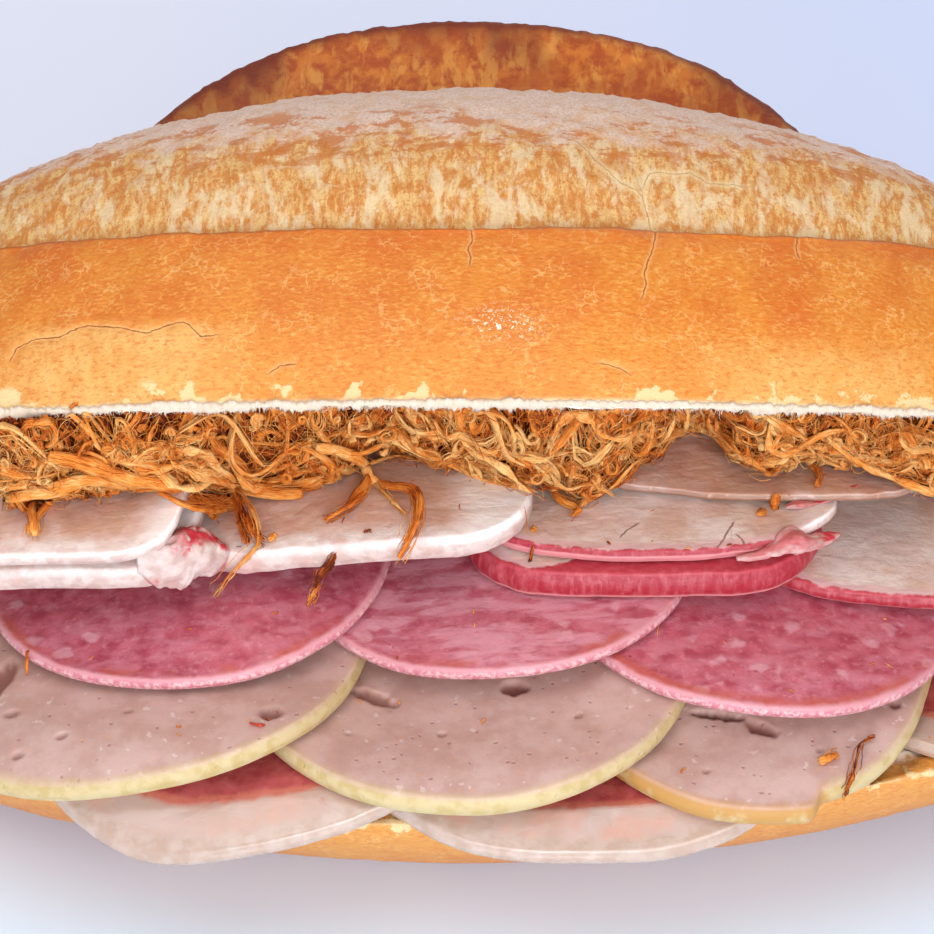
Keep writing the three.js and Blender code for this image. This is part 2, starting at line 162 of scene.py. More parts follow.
def ring_faces(rings, count, flip=False):
    """Quads between neighbouring rings of count points."""
    i = np.arange(rings - 1)[:, None]
    j = np.arange(count)[None, :]
    k = (j + 1) % count
    quads = [i * count + j, i * count + k, (i + 1) * count + k, (i + 1) * count + j]
    faces = np.stack(np.broadcast_arrays(*quads), -1).reshape(-1, 4)
    return faces[:, ::-1] if flip else faces


def fan_faces(ring, tip, flip=False):
    """Triangles from a ring of points to one tip; the fourth corner is -1."""
    ring = np.asarray(ring)
    faces = np.stack([ring, np.roll(ring, -1), np.full_like(ring, tip), np.full_like(ring, -1)], -1)
    if flip:
        faces = faces[:, [1, 0, 2, 3]]
    return faces


def capped(rings, count, flip=False):
    """Faces of a closed tube: its rings, and a fan at each end to the two points that follow the rings."""
    points = rings * count
    return np.concatenate([
        ring_faces(rings, count, flip),
        fan_faces(np.arange(count), points, not flip),
        fan_faces(np.arange(count) + points - count, points + 1, flip),
    ])


def ended(values, shape, first=0.0, last=0.0):
    """Values over the rings as one row, followed by those of the two end points."""
    return np.concatenate([np.broadcast_to(values, shape).ravel(), [first, last]])


def through(points, count):
    """A smooth curve through control points on axis -2: Catmull-Rom pieces, count places evenly in index."""
    points = np.asarray(points)
    n = points.shape[-2]
    t = np.linspace(0, n - 1, count)
    i = np.minimum(t.astype(int), n - 2)
    f = (t - i)[:, None]
    before = 2 * points[..., :1, :] - points[..., 1:2, :]
    after = 2 * points[..., -1:, :] - points[..., -2:-1, :]
    p = np.concatenate([before, points, after], -2)
    a, b, c, d = (p[..., i + s, :] for s in range(4))
    square, cube = 2 * a - 5 * b + 4 * c - d, 3 * b - a - 3 * c + d
    return 0.5 * (2 * b + (c - a) * f + square * f**2 + cube * f**3)


# ------------------------------------------------------------------ the loaf's outline, as in the part
def taper(x, power):
    """One minus the square of the share of the half length, to a power."""
    return np.maximum(0.0, 1 - (x / HALF_LENGTH) ** 2) ** power


def half_width(x):
    """Half of the loaf's width: an oval that tapers to its tips."""
    return HALF_WIDTH * taper(x, 0.6)


def lid_height(x):
    """Height of the lid over its cut face, a quarter lower towards the tips."""
    return LID_HEIGHT * taper(x, 0.42) * (1 - 0.25 * smooth(70, HALF_LENGTH, np.abs(x)))


def lift(x):
    """How far the cut curls up from the middle: by the square of x."""
    return 1.5 * (x / STRAIGHT_HALF) ** 2


def hinge_y(x):
    """Where the uncut wall begins, measured to the back."""
    return half_width(x) - np.minimum(HINGE_WALL, 0.35 * half_width(x))


def hinge_z(x):
    """Height of the line that the lid turns about."""
    return HINGE_HEIGHT + lift(x) - 2 * (1 - taper(x, 0.5))


def reach(x):
    """Depth of the cut, from the hinge to the lip."""
    return half_width(x) + hinge_y(x)


def lid_angle(x):
    """The angle that lays the lid's lip in its tilted plane; past the straight stretch the lid closes."""
    at = np.minimum(np.abs(x), STRAIGHT_HALF)
    height = LIP_PLANE_HEIGHT - 1.3 * (at / STRAIGHT_HALF) ** 2
    over = height - hinge_z(at) * math.cos(LIP_PLANE_TILT) - hinge_y(at) * math.sin(LIP_PLANE_TILT)
    closing = 1 - 0.5 * smooth(STRAIGHT_HALF, HALF_LENGTH, np.abs(x))
    return (LIP_PLANE_TILT + np.arcsin(over / reach(at))) * closing


def on_lid(x, p, q):
    """A point of the lid, p from the hinge towards the lip and q above the cut face, as y and z."""
    a = lid_angle(x)
    y = hinge_y(x) - p * np.cos(a) + q * np.sin(a)
    return np.stack(np.broadcast_arrays(y, hinge_z(x) + p * np.sin(a) + q * np.cos(a)), -1)


def pocket_back(x):
    """How far back the opening goes."""
    return hinge_y(x) - POCKET_WALL * taper(x, 0.6)


def crumb_hollow(x, p):
    """How deep the lid's cut face is hollowed, a half wave from hinge to lip."""
    return CRUMB_HOLLOW * taper(x, 0.8) * np.sin(np.pi * np.clip(p / reach(x), 0, 1))


def lid_crumb(x, y):
    """Height of the lid's crumb over a place, found by halving."""
    x, y = np.broadcast_arrays(x, y)
    low, high = np.zeros(x.shape), reach(x) + 0.0
    for _ in range(22):
        p = (low + high) / 2
        over = on_lid(x, p, crumb_hollow(x, p))[..., 0] > y
        low, high = np.where(over, p, low), np.where(over, high, p)
    return on_lid(x, low, crumb_hollow(x, low))[..., 1]


def base_crumb(x, y):
    """Height of the base's cut face: level, pressed in a little in the middle."""
    t = np.clip((y + half_width(x)) / np.maximum(reach(x), 1e-6), 0, 1)
    hollow = BASE_HOLLOW * taper(x, 0.8) * np.sin(np.pi * t)
    return mix(BASE_HEIGHT + lift(x), hinge_z(x) - 0.8, t) - hollow


# ------------------------------------------------------------------ bread
def bread_zones(x):
    """The loaf's cross-section as named runs of [y, z] control points, one row of them for each x.

    The underside is a half oval whose depth goes with a power of the sine. The lid's skin is an oval over its
    tilted cut face, a little recessed towards the score, and the ear is five points raised over its top.
    """
    x = x[:, None]
    w, h = half_width(x), lid_height(x)
    lid = lambda y, q: on_lid(x, hinge_y(x) - y, q)
    a = np.linspace(np.pi, 2 * np.pi, 27)[None, :]
    back = (np.cos(a) + 1) / 2
    level = mix(BASE_HEIGHT + lift(x), hinge_z(x) - 2, back)
    depth = BASE_DEPTH * taper(x, 0.4) * mix(1, 1.1, back)
    z = np.maximum(0, level - depth * np.abs(np.sin(a)) ** mix(1.35, 0.5, back))
    under = np.stack([w * np.cos(a) + 0 * z, z], -1)
    hinge = np.stack([w * 0.965, hinge_z(x) - 0.4], -1)

    merge = smooth(EAR_HALF_LENGTH, SCORE_HALF_LENGTH, np.abs(x))
    foot = np.radians(mix(78, 92, merge))
    score = SCORE_HEIGHT + 0.5 * (x / 63) ** 2
    score_angle = np.maximum(np.pi - np.arcsin(np.clip(score / np.maximum(h, 1e-3), 0, 0.985)), foot + 0.06)
    ear = ear_rise(x)
    back_end = foot - 0.36
    a = mix(math.radians(14), back_end, np.linspace(0, 1, 6)[None, :])
    lid_back = lid(w * np.cos(a), h * np.sin(a))
    crest_q, crest_y = h * np.sin(foot), w * np.cos(foot)
    ear_points = [
        lid(crest_y + 0.14 * w, crest_q - 0.03 * h + 0.55 * ear),
        lid(crest_y + 0.10 * w, crest_q - 0.02 * h + 0.98 * ear),
        lid(crest_y + 0.06 * w, crest_q - 0.01 * h + ear),
        lid(crest_y + 0.015 * w, crest_q - 0.005 * h + 0.5 * ear),
        lid(crest_y, crest_q),
    ]
    t = np.linspace(0, 1, 9)[None, :]
    a = mix(foot, score_angle, t)
    recess = 1 - 0.035 * t**3
    bloom = lid(w * np.cos(a) * recess, h * np.sin(a) * recess)
    a = mix(score_angle, np.pi, np.linspace(0, 1, 7)[None, :])
    band = lid(w * np.cos(a), h * np.sin(a))
    wall = (hinge_y(x) - pocket_back(x)) / np.cos(lid_angle(x))
    p = mix(reach(x), wall, np.linspace(0, 1, 14)[None, :])
    lid_cut = on_lid(x, p, crumb_hollow(x, p))
    y = mix(pocket_back(x), -w, np.linspace(0, 1, 14)[None, :])
    base_cut = np.stack([y, base_crumb(x, y)], -1)
    return {
        "under": under,
        "back": np.concatenate([hinge.reshape(len(x), 1, 2), lid_back], 1),
        "ear": np.concatenate([lid_back[:, -1:, :]] + ear_points, 1),
        "bloom": bloom,
        "band": band,
        "lid_cut": lid_cut,
        "base_cut": base_cut,
    }


def ear_rise(x):
    """How far the ear stands up: full in the middle, less by the cube of the distance towards its ends."""
    return EAR_HEIGHT * np.maximum(0, 1 - (np.abs(x - EAR_MIDDLE) / EAR_HALF_LENGTH) ** 3)


def sections(x, profile):
    """Points in space: each row of [y, z] points at its own x."""
    at = np.broadcast_to(x[:, None, None], profile.shape[:2] + (1,))
    return np.concatenate([at, profile], -1)


def girth(profile):
    """Distance round each section from its first point."""
    step = np.linalg.norm(np.diff(profile, axis=1), axis=-1)
    return np.concatenate([np.zeros((len(profile), 1)), np.cumsum(step, 1)], 1)


def surface_normals(grid):
    """Unit normals of a grid of points: the cross product of its two differences."""
    along = np.gradient(grid, axis=0)
    across = np.gradient(grid, axis=1)
    n = np.cross(along, across)
    return n / np.maximum(np.linalg.norm(n, axis=-1, keepdims=True), 1e-9)


def stations(count):
    """Places along the loaf, crowding a little towards the tips."""
    turn = 0.43 * np.pi
    return 0.992 * HALF_LENGTH * np.sin(np.linspace(-turn, turn, count)) / math.sin(turn)


def near_path(x, y, path):
    """Distance from a polyline, signed by side, and how far along its pieces the nearest place lies."""
    best, along = np.full(np.shape(x), 1e9), np.zeros(np.shape(x))
    for number, ((ax, ay), (bx, by)) in enumerate(zip(path[:-1], path[1:])):
        dx, dy = bx - ax, by - ay
        t = np.clip(((x - ax) * dx + (y - ay) * dy) / (dx * dx + dy * dy), 0, 1)
        side = np.where((x - ax) * dy - (y - ay) * dx > 0, 1.0, -1.0)
        d = np.hypot(x - ax - t * dx, y - ay - t * dy) * side
        nearer = np.abs(d) < np.abs(best)
        best, along = np.where(nearer, d, best), np.where(nearer, number + t, along)
    return best, along


def crack_lines(x, s):
    """The nearest crack's signed distance, and 1 beside it, fading to 0 past its ends and 2 mm away."""
    best, beside = np.full(x.shape, 9.0), np.zeros(x.shape)
    for path in CRACKS:
        d, along = near_path(x, s, path)
        ends = smooth(0, 0.4, along) * smooth(len(path) - 1, len(path) - 1.4, along)
        nearer = np.abs(d) < np.abs(best)
        best, beside = np.where(nearer, d, best), np.where(nearer, ends, beside)
    return np.clip(best, -3, 3), beside * smooth(2.0, 1.2, np.abs(best))


# The lid's runs in the order of its skin, with the number of points across each.
LID_RUNS = {"back": 26, "ear": 34, "bloom": 56, "band": 52, "lid_cut": 44}


def fixed_ends(count):
    """1 across a section, halved and nought at its two ends, which other pieces meet."""
    fixed = np.ones(count)
    fixed[[0, -1]] = 0
    fixed[[1, -2]] = 0.5
    return fixed[None, :]


def tipped(grid):
    """The loaf's sections as one row of points, followed by its two tips."""
    tip_z = float(hinge_z(np.array(HALF_LENGTH))) - 1
    return np.concatenate([grid.reshape(-1, 3), [[-HALF_LENGTH, 0, tip_z], [HALF_LENGTH, 0, tip_z]]])


def lid_profile(zones):
    """The lid's skin as rows of [y, z] points, down to half-way along the slit's end wall, and their runs."""
    rows, names = [], []
    for key, count in LID_RUNS.items():
        run = through(zones[key], count)[:, 1 if rows else 0 :]
        rows.append(run)
        names.append(np.full(run.shape[1], key))
    end = rows[-1][:, -1:]
    mid = (end + zones["base_cut"][:, :1]) / 2
    rows.append(mix(end, mid, np.linspace(0, 1, 5)[None, 1:, None]))
    names.append(np.full(4, "wall"))
    return np.concatenate(rows, 1), np.concatenate(names)


def lid_relief(X, s, within, from_lip, from_score, from_ear):
    """How far the lid's skin is pushed out along its normal, in millimetres.

    Slow swells all over the crust; blisters and fine grain on the band; ridges, grain and flakes on the
    bloom; an uneven crest on the ear; pores and swells on the cut face; a groove with raised sides along each
    crack of the band.
    """
    band, bloom = within("band"), within("bloom")
    brown, cut = within("back", "ear"), within("lid_cut", "wall")
    push = 0.55 * cloud(X / 19, s / 15, 0.5, 21, 3) * (1 - cut)
    blister = smooth(0.25, 0.9, cloud(X / 3.4, s / 2.6, 2.2, 22, 3))
    grain = 0.07 * cloud(X / 0.9, s / 0.9, 7.7, 23, 2)
    push += band * smooth(0, 2.5, -from_lip) * (0.22 * blister + grain)
    flakes = np.abs(cloud(X / 5.2, s / 2.4, 4.1, 24, 4))
    ridges = 1 - np.minimum(1, 3.2 * np.abs(cloud(X / 2.6, s / 5.5, 8.8, 25, 3)))
    rough = 0.5 * cloud(X / 1.6, s / 2.2, 1.9, 26, 3)
    push += bloom * smooth(0, 2.0, from_ear) * (0.35 * ridges**2 + 0.3 * rough + 0.25 * flakes)
    push += brown * (0.18 * cloud(X / 2.2, s / 2.2, 3.1, 27, 4) + 0.15 * blister)
    crest = bell(from_ear, -ear_rise(X) - 1.0, 2.2)
    push += crest * (0.3 * cloud(X / 1.2, 0 * s, 9.9, 28, 3) + 0.35 * cloud(X / 13.0, 0 * s, 5.1, 29, 2))
    pores = nearest_point(X / 2.6 + 0.3 * cloud(X / 2, s / 2, 0, 30, 2), s / 2.2, 31)
    pores = smooth(0.55, 0.05, pores)
    push += cut * smooth(0.2, 3.0, from_lip) * (0.8 * cloud(X / 6, s / 5, 6.0, 32, 4) - 1.1 * pores)
    split, beside = crack_lines(X, from_score)
    return push + band * beside * (0.12 * bell(split, 0.9, 0.6) - 0.25 * bell(split, 0, 0.4))


def lid_marks(X, s, within, from_lip, from_score, from_ear):
    """Amounts for the lid's finish at each point: its runs, spots and cracks, where a highlight is painted,
    and two distances.
    """
    band, bloom = within("band"), within("bloom")
    rise = ear_rise(X)
    burnt = np.clip(cloud(X / 5.0, from_ear / 9.0, 2.2, 30, 3) + 0.25, 0, 1)
    toast = bell(from_ear, -rise - 0.6, 1.5)
    toast = toast + burnt * smooth(-0.3, -0.9, from_ear / np.maximum(rise, 3))
    ends = 0.5 * smooth(-15, -45, X) + 0.35 * smooth(22, 45, X)
    ends = ends * smooth(-rise - 2.5, -rise, from_ear) * smooth(1, 3, rise)
    wander = X + 7 * cloud(X / 9, s / 7, 1.3, 35, 3)
    left = smooth(-68, -54, wander) * smooth(-28, -41, wander) * smooth(13.0, 15.5, from_score)
    right = smooth(26, 42, wander) * smooth(72, 55, wander) * smooth(15, 20, from_score)
    baked = band * bell(X, 45.0, 2.6) * bell(from_score, 14.0, 2.4)
    baked += 0.7 * band * bell(X, 5.5, 2.2) * bell(from_score, 3.5, 2.0)
    split, beside = crack_lines(X, from_score)
    return {
        "crumb": np.maximum(within("lid_cut", "wall"), bell(from_lip, 0.35, 0.75) * (from_lip > -1.0)),
        "bloom": bloom,
        "baked": baked,
        "ear": within("back", "ear"),
        "toast": np.clip(toast + ends, 0, 1) * smooth(-24, -18, from_ear) * smooth(75, 60, np.abs(X)),
        "split": split,
        "beside": beside * (band + bloom),
        "pale": np.maximum(left, 0.7 * right) * band,
        # Where a highlight is painted on the band, which is also made glossier there.
        "gloss_and_painted_highlight": band * bell(X, 5.0, 4.5) * bell(from_score, 14.5, 2.0),
        "from_score": from_score,
        "from_lip": from_lip,
    }


def lid_piece():
    """The raised half: a closed skin of sections through back, ear, bloom, band, lip and cut face.

    The lip hangs down in ragged teeth, and the score's edge waves up and down.
    """
    x = stations(400)
    profile, names = lid_profile(bread_zones(x))
    grid = sections(x, profile)
    X, s = grid[..., 0], girth(profile)
    first = lambda key: int(np.argmax(names == key))
    from_lip = s - s[:, [first("lid_cut") - 1]]
    from_score = s - s[:, [first("band")]]
    from_ear = s - s[:, [first("bloom") - 1]]
    within = lambda *keys: np.isin(names, keys)[None, :] + 0 * X
    place = (X, s, within, from_lip, from_score, from_ear)
    close = smooth(HALF_LENGTH, HALF_LENGTH - 9, np.abs(X))
    push = lid_relief(*place) * close * fixed_ends(len(names))
    grid = grid - surface_normals(grid) * push[..., None]
    ragged = 0.55 * cloud(X / 1.3, s / 1.4, 0.7, 33, 3) + 0.5 * cloud(X / 5.5, 0 * s, 2.7, 34, 2)
    grid[..., 2] -= bell(from_lip, 0.5, 1.1) * (0.15 + np.maximum(ragged, -0.4)) * close
    wave = 0.35 * cloud(x / 4.0, 0 * x, 3.3, 5) + 0.3 * cloud(x / 17.0, 0 * x, 1.3, 6)
    grid[..., 2] += within("band") * bell(from_score, 0.0, 1.2) * wave[:, None] * close
    attributes = {key: ended(value, X.shape) for key, value in lid_marks(*place).items()}
    return smooth_mesh("bread_lid", tipped(grid), capped(len(x), len(names)), attributes)


# Hairline cracks on band and bloom, each a polyline of (x, distance below the score, negative above it).
CRACKS = [
    [(0.4, -0.6), (0.8, 1.7), (0.1, 3.4), (0.5, 4.6), (0.2, 6.2)],
    [(25.8, -0.6), (25.3, 2.8), (24.3, 5.6), (23.9, 7.2), (24.2, 8.4), (23.3, 11.5)],
    [(-62.7, 19.4), (-61.6, 17.0), (-59.2, 15.8), (-55.6, 15.6), (-52.0, 13.9), (-46.7, 14.6), (-43.4, 15.4),
     (-40.1, 14.2), (-37.8, 13.9), (-36.0, 16.0), (-33.0, 15.8)],
    [(25.4, -0.2), (24.8, -4.0), (23.9, -8.5), (20.9, -10.5), (17.8, -14.5), (14.3, -21.0)],
    [(23.9, -8.5), (25.1, -12.5), (31.0, -13.0), (33.4, -11.2), (40.6, -11.0)],
    [(17.0, 20.0), (19.0, 20.2), (20.4, 20.7), (22.2, 21.8)],
    [(45.5, -0.4), (45.2, 2.2), (45.6, 4.0)],
    [(-27.0, 21.6), (-25.0, 20.2), (-22.6, 20.0)],
]


def base_piece():
    """The lower half: pocket wall, cut face, front lip, bottom crust and back, closed along the hinge.

    Relief is a push along the surface's normal, as on the lid: crumb pores above, slow swells and blisters
    below, and none where it rests.
    """
    x = stations(300)
    zones = bread_zones(x)
    lid_end = through(zones["lid_cut"], 44)[:, -1:]
    cut = through(zones["base_cut"], 46)
    mid = (lid_end + cut[:, :1]) / 2
    wall = mix(mid, cut[:, :1], np.linspace(0, 1, 5)[None, :-1, None])
    under = np.maximum(through(zones["under"], 110), [[[-1e9, 0.0]]])
    closing = zones["back"][:, :1]
    profile = np.concatenate([wall, cut, under[:, 1:], closing], 1)
    lip = wall.shape[1] + cut.shape[1] - 1
    n = profile.shape[1]
    grid = sections(x, profile)
    X, s = grid[..., 0], girth(profile)
    from_lip = s - s[:, [lip]]
    cutface = (np.arange(n) <= lip)[None, :] + 0 * X
    pores = smooth(0.55, 0.05, nearest_point(X / 2.6, s / 2.3, 41))
    push = cutface * (0.5 * cloud(X / 6, s / 5, 2.0, 42, 4) - 0.8 * pores) * smooth(0, 2, -from_lip)
    blister = smooth(0.2, 0.9, cloud(X / 3.0, s / 3.0, 2.2, 43, 3))
    push += (1 - cutface) * (0.4 * cloud(X / 17, s / 13, 1.5, 44, 3) + 0.25 * blister)
    push += bell(from_lip, 0, 1.0) * 0.4 * cloud(X / 1.5, s / 1.5, 3.0, 45, 3)
    close = smooth(HALF_LENGTH, HALF_LENGTH - 9, np.abs(X))
    rest = np.maximum(smooth(0.0, 1.5, grid[..., 2]), cutface)
    grid = grid - surface_normals(grid) * (push * close * fixed_ends(n) * rest)[..., None]
    grid[..., 2] = np.maximum(grid[..., 2], 0)
    attributes = {
        "crumb": cutface * smooth(3.0, 7.0, -from_lip),
        "split": 3.0,
        "pale": 0.3,
        "from_score": 20.0,
        "from_lip": -np.abs(from_lip) - 0.9,
    }
    attributes = {key: ended(value, X.shape) for key, value in attributes.items()}
    return smooth_mesh("bread_base", tipped(grid), capped(len(x), n), attributes)


# ------------------------------------------------------------------ what lies on what
# Highest surface so far over each cell of a half-millimetre grid; it starts as the base's cut face.
CELL = 0.5
GRID_X = np.arange(-114, 114 + CELL, CELL)
GRID_Y = np.arange(-62, 44 + CELL, CELL)
GX, GY = np.meshgrid(GRID_X, GRID_Y, indexing="ij")
EMPTY = -1000.0
TALLEST_STEP = 60.0
support = np.where((GY > -half_width(GX)) & (GY < hinge_y(GX)), base_crumb(GX, GY), EMPTY)


def at_grid(field, x, y):
    """Value of a grid field at any place, blended from the four cells round it."""
    u = np.clip((x - GRID_X[0]) / CELL, 0, len(GRID_X) - 1.001)
    v = np.clip((y - GRID_Y[0]) / CELL, 0, len(GRID_Y) - 1.001)
    i, j = u.astype(int), v.astype(int)
    f, g = u - i, v - j
    return mix(mix(field[i, j], field[i + 1, j], f), mix(field[i, j + 1], field[i + 1, j + 1], f), g)


def hull(field, stiffness):
    """Smooth upper hull: at each place the greatest of height minus stiffness times squared distance."""
    out = field.copy()
    for axis in (0, 1):
        best = out.copy()
        for shift in range(1, field.shape[axis]):
            drop = stiffness[axis] * (shift * CELL) ** 2
            if drop > TALLEST_STEP:
                break
            if axis == 0:
                best[shift:] = np.maximum(best[shift:], out[:-shift] - drop)
                best[:-shift] = np.maximum(best[:-shift], out[shift:] - drop)
            else:
                best[:, shift:] = np.maximum(best[:, shift:], out[:, :-shift] - drop)
                best[:, :-shift] = np.maximum(best[:, :-shift], out[:, shift:] - drop)
        out = best
    return out


def widen(field, cells):
    """Greatest value within a square of cells on each side."""
    out = field.copy()
    for axis in (0, 1):
        out = np.max([np.roll(out, k, axis) for k in range(-cells, cells + 1)], 0)
    return out


def blur(field, cells):
    """Running mean over a square, done twice."""
    out = field.copy()
    for _ in range(2):
        for axis in (0, 1):
            out = np.mean([np.roll(out, k, axis) for k in range(-cells, cells + 1)], 0)
    return out


# ------------------------------------------------------------------ slices
HAM = dict(kind="ham", rx=37, ry=33.5, thick=2.4, square=2.3, uneven=0.01, back=2, limp=0.045, ragged=0.25)
PORK_ROLL = dict(
    kind="pork_roll", rx=33, ry=33, thick=3.3, square=2.25, uneven=0.004, back=10, limp=0.015, ragged=0.1
)
SALAMI = dict(kind="salami", rx=29, ry=29, thick=1.9, square=2.2, uneven=0.005, back=15, limp=0, ragged=0.15)
ROAST = dict(kind="roast_pork", thick=2.4, square=3.2, uneven=0.012, back=19, limp=0, ragged=0.5)
SLICES = {
    "ham_right": dict(HAM, x=77, y=-6, rx=26, ry=28),
    "ham_middle": dict(HAM, x=15.5, y=-16),
    "ham_left": dict(HAM, x=-29.5, y=-14.8),
    "pork_roll_right": dict(PORK_ROLL, x=40.5, y=-13.5, rx=27, torn=0.07),
    "pork_roll_middle": dict(PORK_ROLL, x=0, y=-14.5),
    "pork_roll_left": dict(PORK_ROLL, x=-47, y=-12),
    "salami_right": dict(SALAMI, x=42, y=-5.5),
    "salami_middle": dict(SALAMI, x=4, y=-0.5),
    "salami_left": dict(SALAMI, x=-40, y=-1.5),
    "roast_right": dict(ROAST, kind="red_roast_pork", x=65, y=6.5, rx=29, ry=20, square=2.6, thick=2.2),
    "roast_red_lower": dict(ROAST, kind="red_roast_pork", x=25, y=1.5, rx=26, ry=17.5, thick=4.4),
    "roast_red_upper": dict(
        ROAST, kind="red_roast_pork", x=27, y=3, rx=26, ry=17, thick=2, curl=(43, 52, 2.5)
    ),
    "roast_middle": dict(ROAST, x=-15, y=1.5, rx=24, ry=17, square=4, thick=3.8),
    "roast_left_lower": dict(
        ROAST, x=-56.5, y=-1, rx=19.5, ry=18, square=5, turn=-6, back=10, thick=3.6, curl=(-46, -38, 1)
    ),
    "roast_left_upper": dict(
        ROAST, x=-57, y=-2.5, rx=19, ry=18, square=5, turn=-6, back=5, thick=2, curl=(-48, -40, 2)
    ),
    "roast_back": dict(ROAST, x=42, y=8, rx=25, ry=12, back=13.5, thick=1.2, turn=-4),
}
# Air holes in the pork roll: x, y, half-length, half-width, turn in degrees, depth.
HOLES = {
    "pork_roll_left": [(-27.2, -35.0, 1.6, 1.2, 10, 1.0), (-65.8, -22.5, 4.0, 1.6, 70, 1.2),
                       (-38.4, -22.5, 0.9, 0.7, 0, 0.7), (-56, -36.5, 0.7, 0.5, 20, 0.5),
                       (-47, -33.0, 0.5, 0.4, 0, 0.4), (-62, -38.5, 0.8, 0.6, 0, 0.5),
                       (-63.5, -30.5, 1.0, 0.7, 0, 0.6)],
    "pork_roll_middle": [(-13.0, -26.8, 3.6, 1.1, -34, 1.0), (6.7, -27.0, 1.9, 1.3, 0, 1.0),
                         (-3.5, -35.5, 0.5, 0.4, 0, 0.5), (15.5, -33.0, 0.6, 0.4, 30, 0.5),
                         (-16.5, -35.0, 0.5, 0.4, 0, 0.4)],
    "pork_roll_right": [(35.2, -29.8, 3.4, 0.6, -12, 1.6), (41.0, -32.3, 2.3, 1.0, -25, 1.0),
                        (46.5, -29.5, 0.9, 0.6, 0, 0.9), (60, -28.0, 1.0, 0.8, 0, 0.7),
                        (66, -27.0, 0.8, 0.6, 0, 0.6), (49, -36.5, 0.5, 0.4, 0, 0.4),
                        (33.0, -40.5, 0.5, 0.4, 0, 0.4)],
}
# Points round a slice, and how rough its cut faces are.
AROUND = 280
GRAIN = {"roast_pork": 0.12, "red_roast_pork": 0.12, "ham": 0.08}


def outline(s, angle):
    """The slice's edge: an oval squared off by powers of sine and cosine, wavy, turned, torn on one side."""
    c, n = np.cos(angle), np.sin(angle)
    power = 2 / s["square"]
    size = 1 + s["uneven"] * (np.sin(3 * angle + s["x"]) + 0.6 * np.sin(5 * angle + 2 * s["x"]))
    if s.get("torn"):
        size = size * (1 - s["torn"] * smooth(-1.36, -1.27, angle) * (1 - smooth(-0.4, 0.2, angle)))
    u = s["rx"] * size * np.sign(c) * np.abs(c) ** power
    v = s["ry"] * size * np.sign(n) * np.abs(n) ** power
    turn = math.radians(s.get("turn", 0))
    ragged = s["ragged"] * cloud(3.1 * c + s["x"], 3.1 * n, s["y"], 51, 4) * np.minimum(1, 0.1 * s["rx"])
    x = s["x"] + u * math.cos(turn) - v * math.sin(turn) + ragged * c
    y = s["y"] + u * math.sin(turn) + v * math.cos(turn) + ragged * n
    return x, y


def room_back(x, s):
    """How far back a slice reaches at x before the opening gets too low for it."""
    near = widen(support, 4)
    y = np.minimum(s["back"], pocket_back(x) - 1.5)
    for _ in range(80):
        tight = lid_crumb(x, y) - at_grid(near, x, y) < s["thick"] + 4 * SLICE_GAP
        if not np.any(tight & (y > -30)):
            break
        y = np.where(tight & (y > -30), y - 0.5, y)
    return y


# Dark hairlines on the lean of the red slices, as places (x, y), and where the fatty right ends begin.
SEAMS = [
    [(35.1, -13.7), (36.3, -11.6), (36.9, -10.0), (38.2, -7.5)],
    [(39.3, -13.1), (38.9, -11.5), (38.0, -10.4)],
    [(21.5, -11.5), (22.6, -9.4), (24.8, -7.6)],
]
FATTY = {"roast_left_lower": -45.0, "roast_left_upper": -47.0, "roast_middle": -4.0, "roast_red_upper": 44.0}


def marks(name, x, y):
    """Per-point amounts for a slice: a fatty right end, red dye's width, hairlines, and a darker old skin."""
    none = 0 * x
    fatty, seam, hairline_and_shade, dye = none, none + 9, none, none + 0.3
    if name in FATTY:
        fatty = smooth(FATTY[name], FATTY[name] + 6, x + 1.5 * cloud(x / 4, y / 4, 0.0, 56, 2))
    if name == "roast_red_lower":
        dye = 0.4 + 4.5 * smooth(8, 20, x)
    if name == "roast_red_upper":
        for path in SEAMS:
            d, along = near_path(x, y, path)
            beside = smooth(0, 0.3, along) * smooth(len(path) - 1, len(path) - 1.3, along)
            beside = beside * smooth(2, 1.2, np.abs(d))
            nearer = np.abs(d) < np.abs(seam)
            seam, hairline_and_shade = np.where(nearer, d, seam), np.where(nearer, beside, hairline_and_shade)
    if name == "salami_middle":
        fatty = none + 1
    thin = none + float(name == "roast_red_upper")
    old = float(name == "pork_roll_right") * smooth(53, 49, x)
    return {"fatty": fatty, "seam": seam, "hairline_and_shade": hairline_and_shade, "dye": dye, "thin": thin, "old": old}


def lay(s, cx, cy, ox, oy, size):
    """The height of a slice's underside as a grid field; the height grid is raised to the slice's top.

    The underside is the smooth upper hull of its support plus slow waves, less a limp droop that goes with
    the square of the distance past the bread's lip. It is kept clear of what it lies on.
    """
    rows = slice(*np.searchsorted(GRID_X, [ox.min() - 4, ox.max() + 4]))
    cols = slice(*np.searchsorted(GRID_Y, [oy.min() - 4, oy.max() + 4]))
    gx, gy = GX[rows, cols], GY[rows, cols]
    phi = np.arctan2(oy - cy, ox - cx)
    order = np.argsort(phi)
    edge = np.interp(np.arctan2(gy - cy, gx - cx), phi[order], size[order], period=2 * np.pi)
    away = np.hypot(gx - cx, gy - cy)
    held = np.where(away < edge + 1.0, support[rows, cols], EMPTY)
    wave = 0.3 * (1 + cloud(gx / 13, gy / 11, s["y"] + 3.1, 52, 2))
    over = np.maximum(0, 3 - gy - half_width(gx))
    low, high, rise = s.get("curl", (0, 1, 0))
    curl = rise * smooth(low, high, gx) * smooth(-2, -10, gy)
    under = hull(held, SLICE_STIFFNESS) + 0.22 + wave - s["limp"] * over**2 + curl
    under = blur(np.maximum(blur(under, 5), widen(held, 2) + 0.25), 2)
    under = np.maximum(under, widen(held, 1) + 0.15)
    whole = np.full_like(support, EMPTY)
    whole[rows, cols] = under
    raised = np.maximum(support[rows, cols], under + s["thick"])
    support[rows, cols] = np.where(away < edge, raised, support[rows, cols])
    return whole


